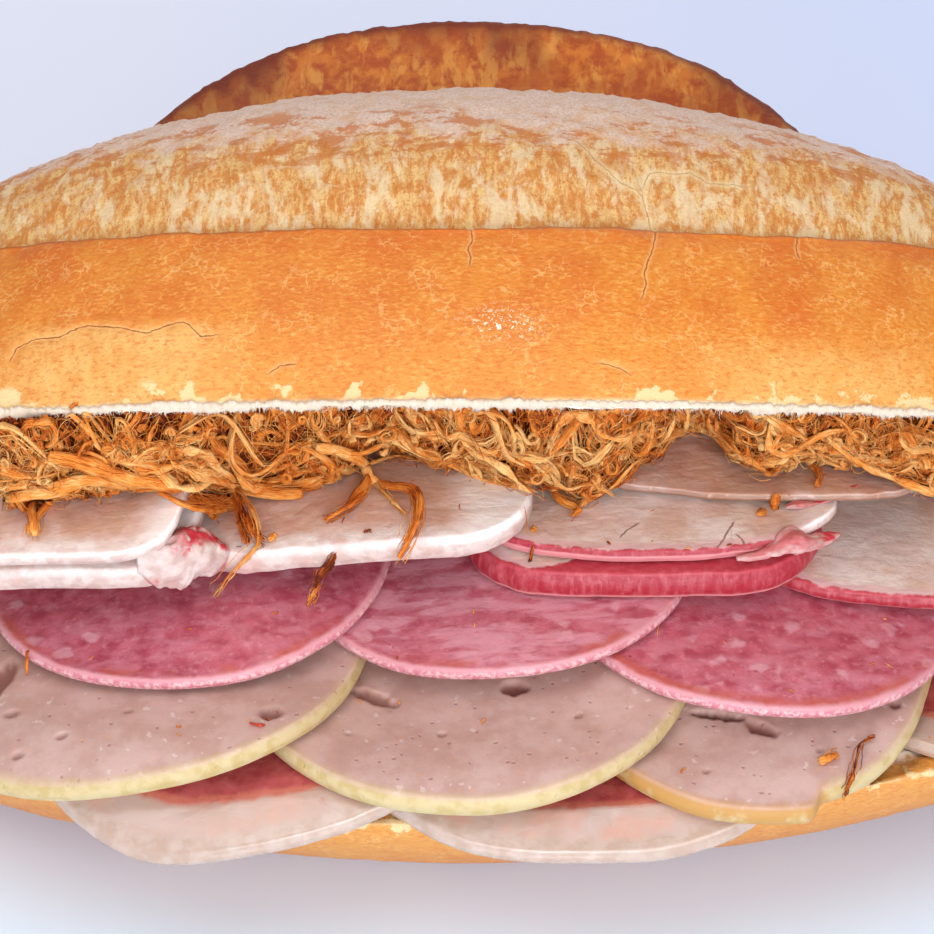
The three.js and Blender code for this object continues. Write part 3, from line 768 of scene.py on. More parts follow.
def skin_rings(thick, size, fine, deep):
    """The rings of a slice's skin: a share of the outline's distance and a drop below the top for each ring.

    They run over the top, round a corner, down the cut edge, which bulges a little, round a corner and under
    the slice. Of the rings on the top, fine ones lie within deep millimetres of the edge. The third value is
    the number of rings on the top.
    """
    corner = min(0.45, 0.25 * thick)
    turn = np.linspace(0, np.pi / 2, 5)[1:]
    depth = np.minimum(deep, 0.7 * size)[None, :]
    rim = 1 - np.concatenate([
        corner + (depth - corner) * np.linspace(1, 0, fine)[:, None],
        corner * (1 - np.sin(turn))[:, None] + 0 * depth,
    ]) / size
    inner = (np.linspace(0, 1, 14)[1:-1] ** 0.8)[:, None] * rim[:1]
    wall_drop = np.linspace(corner, thick - corner, 6)[1:]
    bulge = 0.12 * thick * np.sin(np.pi * (wall_drop - corner) / (thick - 2 * corner))
    below = np.array([2.0, 5.0, 9.0, 14.0])
    factors = np.concatenate([
        inner,
        rim,
        1 + bulge[:, None] / size,
        1 - (corner * (1 - np.cos(turn)))[:, None] / size,
        1 - below[:, None] / np.maximum(size, 16),
    ])
    drops = np.concatenate([
        np.zeros(len(inner) + fine),
        corner * (1 - np.cos(turn)),
        wall_drop,
        thick - corner + corner * np.sin(turn),
        np.full(len(below), thick),
    ])
    return factors, drops[:, None], len(inner) + len(rim)


def air_holes(name, x, y):
    """Depth of the dents in a slice's top: ovals with uneven edges, sunk by a smooth step."""
    dent = 0 * x
    for hx, hy, long, short, tilt, deepest in HOLES.get(name, []):
        c, n = math.cos(math.radians(tilt)), math.sin(math.radians(tilt))
        u, v = (x - hx) * c + (y - hy) * n, -(x - hx) * n + (y - hy) * c
        q = np.hypot(u / long, v / short) * (1 + 0.2 * noise(x / 1.1, y / 1.1, 0, 53))
        dent = np.maximum(dent, deepest * smooth(1.25, 0.55, q))
    return dent


def slice_piece(name, s):
    """One slice laid on what is there: rings of skin, sunk at air holes, with a grain on top and edge."""
    thick = s["thick"]
    around = 2 * np.pi * np.arange(AROUND) / AROUND
    ox, oy = outline(s, around - 0.45 * np.sin(around) - np.pi / 2)
    oy = np.minimum(oy, room_back(ox, s))
    ox, oy = [np.mean([np.roll(v, k) for k in (-1, 0, 1)], 0) for v in (ox, oy)]
    cx, cy = s["x"], min(s["y"], s["back"] - 4)
    size = np.hypot(ox - cx, oy - cy)
    underside = lay(s, cx, cy, ox, oy, size)

    fine, deep = (64, 24.0) if name in HOLES else (24, 10.0)
    factors, drops, top_rings = skin_rings(thick, size, fine, deep)
    px, py = cx + factors * (ox - cx), cy + factors * (oy - cy)
    on_top = (np.arange(len(factors)) < top_rings)[:, None] + 0 * px
    dent = air_holes(name, px, py)
    grain = GRAIN.get(s["kind"], 0.05)
    pz = at_grid(underside, px, py) + thick - drops
    pz -= on_top * dent
    pz += on_top * grain * cloud(px / 1.8, py / 1.8, s["x"], 54, 3)
    side = (1 - on_top) * smooth(thick + 0.1, thick - 0.3, drops)
    ripple = grain * 1.4 * cloud(px / 1.4, py / 1.4, drops / 0.8, 55, 3) * side
    px, py = px + ripple * (px - cx) / size, py + ripple * (py - cy) / size

    top = float(at_grid(underside, np.array(cx), np.array(cy))) + thick
    grid = np.stack([px, py, pz], -1)
    vertices = np.concatenate([grid.reshape(-1, 3), [[cx, cy, top], [cx, cy, top - thick]]])
    attributes = {
        "edge": ended(np.maximum((1 - factors) * size, 0) * on_top, px.shape, 30),
        "wall": ended(np.clip(drops / thick, 0, 1), px.shape, 0, 1),
        "hole": ended(on_top * np.clip(dent / 0.8, 0, 1), px.shape),
        **{key: ended(value, px.shape) for key, value in marks(name, px, py).items()},
    }
    # The thin back slice shows no dyed rim; instead its cut edge is painted dark brown, darkest at its foot:
    # painted shade along the edge.
    if name == "roast_back":
        low = smooth(0.5, 0.7, attributes["wall"])
        attributes["hairline_and_shade"] = np.maximum(0.75 * smooth(0.02, 0.2, attributes["wall"]), low)
        attributes["seam"] = 0 * attributes["seam"]
        attributes["edge"], attributes["wall"] = attributes["edge"] + 30, 0 * attributes["wall"]
    return smooth_mesh(name + "_slice", vertices, capped(len(factors), AROUND, True), attributes)


# Ragged ends of fat: how pink, places (x, y, z, half-width, half-height) along it, where its dye begins.
LUMPS = {
    "roast_left_corner": (0.0, [(-46.0, -19.3, 51.8, 1.2, 2.5), (-42.5, -18.6, 51.6, 2.0, 4.0),
                           (-39.5, -16.8, 51.0, 2.4, 4.4), (-36.8, -14.6, 49.4, 2.2, 3.5),
                           (-34.6, -13.2, 47.8, 1.2, 2.0), (-33.8, -12.9, 47.4, 0.3, 0.5)], 0.3),
    "roast_red_tip": (0.5, [(38.0, -14.4, 48.6, 0.3, 0.3), (41.0, -13.9, 48.8, 0.7, 0.6),
                            (43.8, -12.9, 49.2, 1.3, 1.0), (46.0, -11.8, 49.8, 1.9, 1.7),
                            (48.2, -11.2, 49.2, 1.5, 1.1), (50.0, -10.4, 48.9, 1.2, 0.9),
                            (51.6, -9.6, 48.8, 0.9, 0.7), (53.0, -8.9, 48.8, 0.2, 0.2)], 0.7),
    "roast_back_tip": (0.6, [(45.5, -5.4, 51.0, 0.3, 0.2), (47.5, -5.2, 51.4, 0.8, 0.5),
                             (50.0, -4.4, 51.0, 0.4, 0.3), (53.0, -3.2, 51.6, 0.8, 0.6),
                             (56.0, -2.0, 52.2, 0.3, 0.3)], 0.4),
}


def lump(name, blush, places, dyed_from):
    """A ragged roll of fat: ovals, level and upright, carried along a path and swollen by noise."""
    count, sides = 90, 44
    route = through(np.array(places, float), count)
    u = np.linspace(0, 1, count)[:, None]
    tangent = np.gradient(route[:, :3], axis=0)
    tangent /= np.linalg.norm(tangent, axis=1, keepdims=True)
    side = np.cross(tangent, [0, 0, 1])
    side /= np.linalg.norm(side, axis=1, keepdims=True)
    up = np.cross(side, tangent)
    a = (2 * np.pi * np.arange(sides) / sides)[None, :]
    ca, sa = np.cos(a), np.sin(a)
    swell = 1 + 0.42 * cloud(route[:, :1] / 2.2 + 0 * a, 1.3 * ca, 1.3 * sa, 57, 3)
    swell = swell + 0.08 * cloud(route[:, :1] / 0.7 + 0 * a, 3 * ca, 3 * sa, 58, 3)
    ring = route[:, None, :3] + (np.abs(route[:, 3:4]) * ca * swell)[..., None] * side[:, None, :]
    ring = ring + (np.abs(route[:, 4:5]) * sa * swell)[..., None] * up[:, None, :]
    vertices = np.concatenate([ring.reshape(-1, 3), ring[[0, -1]].mean(1)])
    spots = smooth(-0.15, 0.25, cloud(route[:, :1] / 1.5 + 0 * a, 1.5 * ca, 1.5 * sa, 59, 3))
    stain = smooth(dyed_from - 0.1, dyed_from + 0.1, u) * smooth(0.35, 0.7, sa + 0.5 * (spots - 0.5))
    stain = np.maximum(stain, 0.7 * smooth(0.1, 0.35, cloud(route[:, :1] / 2.6 + 0 * a, ca, sa, 60, 3)))
    stain = np.maximum(stain, blush * (0.6 + 0.4 * spots))
    rows = lambda value, end=0.0: ended(value, swell.shape, end, end)
    attributes = {
        "edge": rows(30.0, 30.0),
        "wall": rows(0.6),
        "fatty": rows(0.85, 0.85),
        "stain": rows(stain),
        "seam": rows(9.0, 9.0),
    }
    return smooth_mesh(name, vertices, capped(count, sides, True), attributes)


# ------------------------------------------------------------------ pork floss
FLOSS_HALF_LENGTH = 96.0
FLOSS_BACK = 15.0
FLOSS_CLEAR = 0.9

# The heap's foot, as in the part: [x, how far it lies below the lid's lip].
FLOSS_FOOT = [
    [-96, 7], [-75, 12], [-62, 13.5], [-45, 10.5], [-32, 11], [-20, 9.5], [-10, 6], [-3, 8], [6, 10],
    [15, 12], [22, 10], [28, 6.5], [31, 2], [33.3, 1.2], [35.5, 2], [38, 7], [43, 9], [50, 6.5],
    [57, 7.5], [66, 10.5], [80, 9], [96, 6],
]


def foot_drop(x):
    """Straight between the heap's named places: lower at the left, nearly bare at one place on the right."""
    return np.interp(x, *np.transpose(FLOSS_FOOT))


def floss_floor(x, y, wide):
    """Half a millimetre over the meat or the base's crumb, whichever is higher."""
    at = np.minimum(y, FLOSS_BACK)
    return np.maximum(at_grid(wide, x, at), base_crumb(x, at)) + 0.5


def floss_face(x):
    """The heap's outline at each x: y and z of its foot and of its brow under the lid."""
    wide = blur(widen(support, 5), 2)
    y = np.full(x.shape, FLOSS_BACK)
    level = LIP_PLANE_HEIGHT - foot_drop(x)
    for _ in range(50):
        low = y * math.sin(LIP_PLANE_TILT) + floss_floor(x, y, wide) * math.cos(LIP_PLANE_TILT) > level
        y = np.where(low & (y > -10), y - 0.5, y)
    front = np.minimum(y, hinge_y(x) - 9)
    brow = front - 9 * taper(x, 0.7) - 1.5 * np.sin(x / 5)
    return front, floss_floor(x, front, wide), brow, lid_crumb(x, brow) - FLOSS_CLEAR, wide


FACE_X = np.linspace(-FLOSS_HALF_LENGTH, FLOSS_HALF_LENGTH, 193)


def on_face(face, x, t, out):
    """A place on the heap's front: t from foot (0) to brow (1), out millimetres off it, never in the meat."""
    front, foot, brow, roof, _ = face
    take = lambda v: np.interp(x, FACE_X, v)
    y0, z0, y1, z1 = take(front), take(foot), take(brow), take(roof)
    length = np.hypot(y1 - y0, z1 - z0) + 1e-6
    ny, nz = -(z1 - z0) / length, (y1 - y0) / length
    bulge = 1.8 * np.sin(np.pi * np.clip(t, 0, 1)) + 1.0 * noise(x / 6.5, t * 2.2, 1.5, 61)
    up, below = np.maximum(t, 0), np.minimum(t, 0)
    y = mix(y0, y1, up) + ny * (out + bulge) + 15.0 * below
    z = mix(z0, z1, up) + nz * (out + bulge) + 3.0 * below
    low = at_grid(support, x, y) + 0.3 + 0.6 * np.maximum(out, 0) * (below < 0)
    z = np.where(below < -0.05, low, z)
    return np.stack([x, y, np.maximum(z, np.maximum(low, 0))], -1)


def square_frames(paths):
    """Two unit vectors square to each path at each step, carried along it without twisting."""
    tangent = np.gradient(paths, axis=1)
    tangent /= np.maximum(np.linalg.norm(tangent, axis=-1, keepdims=True), 1e-9)
    start = np.cross(tangent[:, 0], [0.31, 0.52, 0.79])
    carried = [start / np.linalg.norm(start, axis=-1, keepdims=True)]
    for i in range(1, paths.shape[1]):
        t = tangent[:, i]
        v = carried[-1] - np.sum(carried[-1] * t, -1, keepdims=True) * t
        carried.append(v / np.maximum(np.linalg.norm(v, axis=-1, keepdims=True), 1e-9))
    u = np.stack(carried, 1)
    return u, np.cross(tangent, u)


def swept(name, paths, wide, thin, turn, tone, sides, groove=0.0):
    """Closed strands along many paths at once, capped at both ends.

    The section is an oval with half-widths wide and thin, turned by an angle, times one plus a groove depth
    times the cosine of three times the angle round it.
    """
    count, steps = paths.shape[:2]
    u, v = square_frames(paths)
    a = (2 * np.pi * np.arange(sides) / sides)[None, None, :]
    phase = (1.7 * np.arange(count))[:, None, None]
    bump = 1 + groove * np.cos(3 * a + phase) + 0 * tone[:, :, None]
    across, through_it = wide[:, :, None] * np.cos(a) * bump, thin[:, :, None] * np.sin(a) * bump
    c, n = np.cos(turn)[:, :, None], np.sin(turn)[:, :, None]
    first_way, second_way = across * c - through_it * n, across * n + through_it * c
    ring = paths[:, :, None, :] + first_way[..., None] * u[:, :, None, :]
    ring = ring + second_way[..., None] * v[:, :, None, :]

    first = (np.arange(count) * steps * sides)[:, None, None]
    i = (np.arange(steps - 1) * sides)[None, :, None]
    j = np.arange(sides)[None, None, :]
    k = (j + 1) % sides
    quads = [first + i + j, first + i + k, first + i + sides + k, first + i + sides + j]
    faces = [np.stack(np.broadcast_arrays(*quads), -1).reshape(-1, 4)]
    ends = first[:, 0, :]
    last = ends + (steps - 1) * sides
    none = np.full_like(ends, -1)
    for m in range(1, sides - 1):
        faces.append(np.concatenate([ends + m + 1, ends + m, ends, none], 1))
        faces.append(np.concatenate([last, last + m, last + m + 1, none], 1))
    along = np.cumsum(np.linalg.norm(np.diff(paths, axis=1, prepend=paths[:, :1]), axis=-1), 1)[:, :, None]
    fibre = np.stack(np.broadcast_arrays(across + phase, through_it, along), -1)
    tones = np.broadcast_to(tone[:, :, None], ring.shape[:3])
    return smooth_mesh(name, ring.reshape(-1, 3), np.concatenate(faces), {"tone": tones, "fibre": fibre})


def routes(rng, place, length, bend, out, heading=None, steps=15):
    """Winding routes on the heap's front: x, t from foot to brow, and millimetres off it, one row a route.

    A heading is a start angle plus a steady bend plus a sine; the route is the running sum of its cosine and
    sine.
    """
    x0, t0 = (np.asarray(v, float)[:, None] for v in place)
    u = np.linspace(0, 1, steps)[None, :]
    draw = lambda a, b: rng.uniform(a, b, x0.shape)
    if heading is None:
        heading = rng.normal(0, 0.7, x0.shape) + np.pi * rng.integers(0, 2, x0.shape)
    angle = heading + rng.normal(0, bend, x0.shape) * (u - 0.5)
    angle = angle + draw(0.1, 1.1) * np.sin(6.28 * draw(0.6, 1.8) * u + draw(0, 6.28))
    step = draw(*length) / (steps - 1)
    px, py = np.cumsum(np.cos(angle), 1) * step, np.cumsum(np.sin(angle), 1) * step
    away = draw(*out) * (0.6 + 0.4 * np.sin(6.28 * draw(0.5, 1.6) * u + draw(0, 6.28)))
    return x0 + px - px.mean(1, keepdims=True), t0 + (py - py.mean(1, keepdims=True)) / 12.0, away


def bundle_set(rng, face, place, length, width, bend, out, tone, heading=None):
    """Flat bundles of fibres on the heap, with each bundle's loose fibres: two lists of strand tables."""
    x, t, away = routes(rng, place, length, bend, out, heading)
    count, steps = x.shape
    u = np.linspace(0, 1, steps)[None, :]
    draw = lambda a, b: rng.uniform(a, b, (count, 1))
    wide = 0.5 * draw(*width) * (0.35 + 0.65 * np.sin(np.pi * u) ** 0.5)
    wide = wide * (1 + 0.25 * rng.normal(0, 1, (count, steps)))
    ends = np.sqrt(np.clip(1 - (2 * u - 1) ** 8, 0.01, 1))
    wide = np.maximum(wide, 0.08)
    wide, thin = wide * ends, wide * ends * draw(0.35, 0.6)
    turn = draw(0, 6.28) + draw(-3, 3) * u
    shade = np.clip(tone + rng.normal(0, 0.13, (count, 1)) + 0 * u, 0, 1)
    bodies = (spread(face, x, t, away), wide, thin, turn, shade)

    loose = 4
    each = (count, loose, 1)
    spot = rng.normal(0, 0.62, each) + rng.normal(0, 0.3, each) * u[:, None, :]
    heights = rng.uniform(0.0, 0.9, each)
    heights = heights * np.cos(3 * u[:, None, :] + rng.uniform(0, 6.28, each))
    gx, gt = np.gradient(x, axis=1)[:, None, :], np.gradient(t, axis=1)[:, None, :] * 12
    size = np.hypot(gx, gt) + 1e-6
    reach_by = spot * (wide[:, None, :] + 0.25)
    fx = x[:, None, :] - reach_by * gt / size
    ft = t[:, None, :] + reach_by * gx / size / 12
    fa = away[:, None, :] + heights * (wide[:, None, :] + 0.2)
    flat = lambda w: np.broadcast_to(w, (count, loose, steps)).reshape(-1, steps)
    thick = 0.055 * np.exp(rng.normal(0, 0.35, each)) * ends[:, None, :]
    lighter = np.clip(shade[:, None, :] + rng.normal(0.08, 0.12, each), 0, 1)
    fibres = (spread(face, flat(fx), flat(ft), flat(fa)), flat(thick), flat(lighter))
    return bodies, fibres


def spread(face, x, t, away):
    """The routes' places in space; below the foot they are pulled up, so that the heap ends there."""
    t = np.where(t < 0, 0.15 * t, t)
    return on_face(face, np.clip(x, -97, 97), np.clip(t, -0.12, 1.06), away)


HANGING_STEPS = 18
# Strands that hang out of the heap over the meat: width, tone, then places (x, how far below the lip).
HANGING = [
    (3.0, 0.6, [(-57.0, 4.2), (-48.0, 7.0), (-38.8, 9.7), (-32.4, 11.4), (-27.0, 11.9), (-23.4, 11.8)]),
    (2.4, 0.72, [(-64.0, 9.7), (-58.0, 8.6), (-51.8, 7.7), (-45.0, 9.5), (-38.8, 11.4)]),
    (2.0, 0.5, [(-30.0, 8.5), (-24.0, 11.0), (-20.0, 9.0), (-19.0, 6.0)]),
    (2.0, 0.8, [(-21.0, 2.8), (-17.5, 3.6), (-15.2, 5.5), (-13.9, 9.5), (-12.0, 10.6)]),
    (1.7, 0.4, [(-13.9, 9.5), (-15.0, 11.8), (-16.7, 13.6), (-20.0, 15.8)]),
    (1.6, 0.4, [(-12.5, 10.2), (-11.2, 10.8), (-7.5, 11.3), (-6.6, 14.6), (-7.9, 18.1), (-9.6, 20.9)]),
    (1.1, 0.55, [(-11.0, 10.4), (-7.6, 12.2), (-7.2, 15.0), (-8.6, 18.6)]),
    (0.7, 0.8, [(-13.0, 10.5), (-11.0, 12.5), (-8.6, 14.8)]),
    (2.2, 0.2, [(-34.0, 11.0), (-32.0, 14.2), (-30.5, 16.5), (-28.8, 18.6)]),
    (1.2, 0.3, [(-33.0, 12.0), (-32.2, 16.0), (-31.0, 19.0)]),
    (0.6, 0.6, [(-33.0, 10.5), (-30.0, 15.0), (-29.5, 19.0), (-32.0, 21.8), (-34.4, 24.5), (-36.0, 26.6)]),
    (2.4, 0.25, [(-45.0, 10.6), (-40.0, 12.2), (-36.0, 13.2), (-32.0, 13.6)]),
    (2.2, 0.35, [(-41.0, 11.0), (-38.6, 12.8), (-36.5, 14.4), (-35.6, 15.6)]),
    (1.4, 0.5, [(-43.0, 11.8), (-39.0, 13.6), (-34.5, 14.2), (-31.5, 12.8)]),
    (2.4, 0.6, [(-63.0, 9.0), (-62.0, 12.0), (-60.5, 15.0), (-60.0, 17.8)]),
    (1.8, 0.55, [(-58.5, 11.0), (-59.0, 13.5), (-60.5, 16.0), (-61.0, 17.5)]),
    (1.2, 0.5, [(12.0, 11.0), (13.5, 13.0), (16.0, 14.2), (15.0, 15.2)]),
    (1.5, 0.7, [(16.5, 10.0), (18.0, 12.0), (16.0, 13.8)]),
    (1.2, 0.5, [(49.0, 7.0), (50.5, 9.0), (50.0, 11.0)]),
    (1.3, 0.05, [(-18.5, 20.4), (-19.3, 22.0), (-20.3, 23.2), (-21.4, 25.2)]),
    (0.9, 0.6, [(-20.9, 24.4), (-21.6, 25.8), (-22.5, 27.7)]),
    (0.5, 0.0, [(56.6, 45.6), (55.0, 46.2), (54.1, 47.1), (53.4, 49.4), (53.1, 51.0)]),
    (0.8, 0.2, [(53.2, 50.2), (52.5, 52.2), (52.2, 53.6)]),
    (1.7, 0.6, [(48.6, 48.9), (50.0, 48.4), (51.2, 47.8)]),
]


def hanging(face, rng):
    """Strands that hang out: each place is put on the heap, or on the meat's top where it is lower.

    The place on the meat is the first, going forward over the height grid, that is that far below the lip.
    Its distance along the lip's plane is then the nearest of its neighbours', so that strands bridge the
    steps. Past the slices' edge the last distance found is kept.
    """
    tilt = LIP_PLANE_TILT
    index = np.arange(HANGING_STEPS)
    beside = lambda v, shifts: [v[np.clip(index + k, 0, HANGING_STEPS - 1)] for k in shifts]
    front, foot, brow, roof, _ = face
    paths, wide, shade = [], [], []
    for width, tone, places in HANGING:
        x, drop = through(np.array(places, float), HANGING_STEPS).T
        level = LIP_PLANE_HEIGHT - drop
        y = np.full(HANGING_STEPS, 12.0)
        for _ in range(270):
            y = np.where(y * math.sin(tilt) + at_grid(support, x, y) * math.cos(tilt) > level, y - 0.25, y)
        away = (y - level * math.sin(tilt)) / math.cos(tilt)
        found = np.flatnonzero(y > -52)
        away = np.interp(index, found, away[found])
        away = np.min(beside(away, range(-3, 4)), 0) - 0.45 * width
        away = np.mean(beside(away, (-1, 0, 1)), 0)
        y = level * math.sin(tilt) + away * math.cos(tilt)
        meat = np.stack([x, y, level * math.cos(tilt) - away * math.sin(tilt)], -1)
        take = lambda v: np.interp(x, FACE_X, v)
        low = take(front) * math.sin(tilt) + take(foot) * math.cos(tilt)
        high = take(brow) * math.sin(tilt) + take(roof) * math.cos(tilt)
        t = np.clip((level - low) / (high - low), 0, 1)
        share = smooth(0.0, 0.12, t)[:, None]
        paths.append(mix(meat, on_face(face, x, t, 1.6), share))
        pinched = np.sin(np.linspace(0.35, np.pi - 0.25, HANGING_STEPS)) ** 0.6
        wide.append(0.5 * width * pinched + 0.08 * rng.normal(0, 1, HANGING_STEPS))
        shade.append(np.full(HANGING_STEPS, tone))
    paths, wide, shade = np.array(paths), np.maximum(np.array(wide), 0.12), np.array(shade)
    turn = rng.uniform(0, 6, (len(paths), 1)) + np.linspace(0, 2.5, HANGING_STEPS)[None, :]
    loose = paths[:, None] + rng.normal(0, 0.5, (len(paths), 7, 1, 3)) * wide[:, None, :, None]
    loose = loose + 0.35 * np.cumsum(rng.normal(0, 0.3, loose.shape), 2)
    tones = np.clip(shade[:, None, :] + rng.normal(0.1, 0.12, (len(paths), 7, 1)), 0, 1)
    tones = tones.reshape(-1, HANGING_STEPS)
    fibres = (loose.reshape(-1, HANGING_STEPS, 3), 0.06 + 0 * tones, tones)
    return (paths, wide, 0.5 * wide, turn, shade), fibres


def floss_core(face):
    """The heap's inside, painted the darkest tone as shade between its strands: a closed skin of sections,
    lumpy on the front, along the heap's length.
    """
    wide = face[-1]
    x = np.linspace(-FLOSS_HALF_LENGTH, FLOSS_HALF_LENGTH, 260)
    take = lambda v: np.interp(x, FACE_X, v)
    t = np.linspace(0, 1, 22)[None, :]
    X = x[:, None] + 0 * t
    front_run = on_face(face, X, t, -2.2 + 1.2 * cloud(X / 2.4, t * 6, 4.0, 62, 3))[..., 1:]
    brow = take(face[2])[:, None]
    back = np.maximum(pocket_back(x) - 1.5, take(face[0]) + 2)[:, None]
    y = mix(brow, back, np.linspace(0, 1, 10)[None, 1:])
    top_run = np.stack([y, lid_crumb(X[:, :9] + 0 * y, y) - 1.2], -1)
    y = mix(back, take(face[0])[:, None], np.linspace(0, 1, 9)[None, :-1])
    low = floss_floor(X[:, :8] + 0 * y, y, wide)
    high = lid_crumb(X[:, :8] + 0 * y, y) - 1.6
    floor_run = np.stack([y, np.minimum(low, high)], -1)
    profile = np.concatenate([front_run, top_run, floor_run], 1)
    grid = sections(x, profile)
    vertices = np.concatenate([grid.reshape(-1, 3), grid[[0, -1]].mean(1)])
    # Tone 0, the darkest: painted shade.
    attributes = {"tone": np.zeros(len(vertices)), "fibre": vertices}
    return smooth_mesh("floss_core", vertices, capped(len(x), profile.shape[1], True), attributes)


def floss_pieces():
    """The heap: its core, then in five lengths the bundles and the loose fibres, then what hangs out."""
    face = floss_face(FACE_X)
    pieces = [floss_core(face)]
    rng = np.random.default_rng(7)
    join = lambda tables: [np.concatenate(v) for v in zip(*tables)]
    lengths = (("a", -97, -58), ("b", -58, -20), ("c", -20, 20), ("d", 20, 58), ("e", 58, 97))
    for letter, low, high in lengths:
        spots = lambda n, a, b: (rng.uniform(low, high, n), rng.uniform(a, b, n))
        gold = 0.08 * smooth(-25, 0, (low + high) / 2)
        slope = rng.normal(-0.35, 0.3, (16, 1))
        # Deeper bundle sets get darker tones, painted shade within the heap, with a random spread about each
        # tone.
        sets = [
            bundle_set(rng, face, spots(count, *where), long, broad, bend, out, tone + gold, start)
            for count, where, long, broad, bend, out, tone, start in (
                (70, (0.0, 1.0), (5, 13), (0.9, 2.0), 3.0, (-2.2, -0.8), 0.16, None),
                (70, (0.02, 1.0), (4, 10), (0.5, 1.3), 6.0, (-1.2, 0.8), 0.46, None),
                (64, (0.05, 0.9), (4, 9), (0.4, 1.0), 10.0, (0.0, 1.8), 0.7, None),
                (16, (0.1, 0.85), (10, 24), (0.7, 1.6), 1.6, (0.6, 2.0), 0.7, slope),
            )
        ]
        bodies, fibres = join([a for a, _ in sets]), join([b for _, b in sets])
        pieces.append(swept("floss_bundles_" + letter, *bodies, 8, 0.22))
        x, t, away = routes(rng, spots(260, 0.0, 1.0), (3, 12), 4.0, (-0.5, 2.8))
        pale = np.clip(rng.normal(0.6, 0.2, (260, 1)) + 0 * x, 0, 1)
        fuzz = (spread(face, x, t, away), 0.05 + 0 * x, pale)
        paths, thick, tone = join([fibres, fuzz])
        pieces.append(swept("floss_fibres_" + letter, paths, thick, thick, 0 * thick, tone, 3))
    bodies, (paths, thick, tone) = hanging(face, rng)
    pieces.append(swept("floss_hanging", *bodies, 8, 0.22))
    pieces.append(swept("floss_hanging_fibres", paths, thick, thick, 0 * thick, tone, 3))
    return pieces


# ------------------------------------------------------------------ crumbs and threads
def lip_crumb():
    """The torn white edge of crumb along the lid's lip: one ragged bead, an oval carried along the lip.

    Its underside is pushed down, and its top up, by noise a quarter of a millimetre to some millimetres long.
    """
    x = np.linspace(-98, 98, 3200)
    sides = 10
    lip = on_lid(x, reach(x), 0 * x)
    a = (2 * np.pi * np.arange(sides) / sides)[None, :]
    X = x[:, None] + 0 * a
    teeth = np.maximum(0, cloud(X / 0.28, a, 1.1, 71, 2)) + np.maximum(0, cloud(X / 0.9, a, 4.2, 72, 2))
    swell = cloud(X / 4.5, 0 * a, 7.7, 73, 3)
    down = np.maximum(0, -np.sin(a)) * (0.1 + 1.1 * teeth + 1.5 * np.maximum(swell, -0.1))
    crest = np.maximum(0, cloud(X / 3.2, 0 * a, 5.5, 77, 3))
    up = np.maximum(0, np.sin(a)) * (0.05 + 0.5 * cloud(X / 0.7, 0 * a, 2.5, 74, 3) + 0.9 * crest)
    y = lip[:, :1] + 0.25 - 0.42 * np.cos(a) * (1 + 0.3 * cloud(X / 0.5, 2 * np.cos(a), 3.0, 75, 2))
    z = lip[:, 1:] + 0.3 + 0.32 * np.sin(a) + up - np.maximum(down, 0.02)
    vertices = np.stack([X, y, z], -1)
    ends = vertices[[0, -1]].mean(1)
    tone = ended(0.8 + 0.2 * cloud(X / 0.6, a, 0.4, 76, 2), X.shape, 1, 1)
    vertices = np.concatenate([vertices.reshape(-1, 3), ends])
    return smooth_mesh("lip_crumb", vertices, capped(len(x), sides, True), {"tone": tone})


def lip_threads():
    """Fine torn threads of crumb along the lid's lip: short teeth, and some longer curled threads."""
    rng = np.random.default_rng(3)
    steps = 10
    u = np.linspace(0, 1, steps)[None, :]
    parts = []
    for count, long, curl, thick in ((1500, (0.25, 0.9), 0.6, 0.09), (110, (1.2, 3.2), 5.0, 0.05)):
        x0 = rng.uniform(-95, 95, (count, 1))
        inner = rng.uniform(0.0, 1.6, (count, 1))
        start = on_lid(x0, reach(x0) - inner, 0.0 * x0)
        heading = -np.pi / 2 + rng.normal(0, 0.5, (count, 1))
        angle = heading + rng.normal(0, curl, (count, 1)) * u
        step = rng.uniform(*long, (count, 1)) / (steps - 1)
        px, pz = np.cumsum(np.cos(angle), 1) * step, np.cumsum(np.sin(angle), 1) * step
        out = rng.normal(-0.1, 0.25, (count, 1)) * u
        x = x0 + px - px[:, :1]
        y = start[..., 0] + out
        z = start[..., 1] + 0.25 + pz - pz[:, :1]
        radii = thick * np.exp(rng.normal(0, 0.35, (count, 1))) * (1 - 0.85 * u)
        parts.append((np.stack([x, y, z], -1), radii, rng.uniform(0.6, 1, (count, 1)) + 0 * u))
    paths, radii, tone = (np.concatenate(v) for v in zip(*parts))
    radii = np.maximum(radii, 0.012)
    return swept("lip_threads", paths, radii, radii, 0 * radii, tone, 3)


# Scraps on the meat: x, y, length, thickness, turn in degrees, tone; and how many more lie anywhere.
SCRAPS = [
    (42.0, -6.5, 1.6, 0.8, 20, 0.7), (44.0, -5.0, 1.4, 0.6, 80, 0.5), (9.5, -9.5, 1.2, 0.4, 60, 0.5),
    (-27.4, -12.8, 1.6, 0.5, 50, 0.8), (9.0, -13.0, 1.0, 0.25, 40, 0.1), (-62.0, -22.5, 1.1, 0.25, 60, 0.3),
    (20.0, -12.5, 0.9, 0.2, 120, 0.1), (37.0, -13.0, 0.8, 0.2, 20, 0.2), (-14.0, -13.5, 1.2, 0.3, 20, 0.1),
]
STRAY_SCRAPS = 60


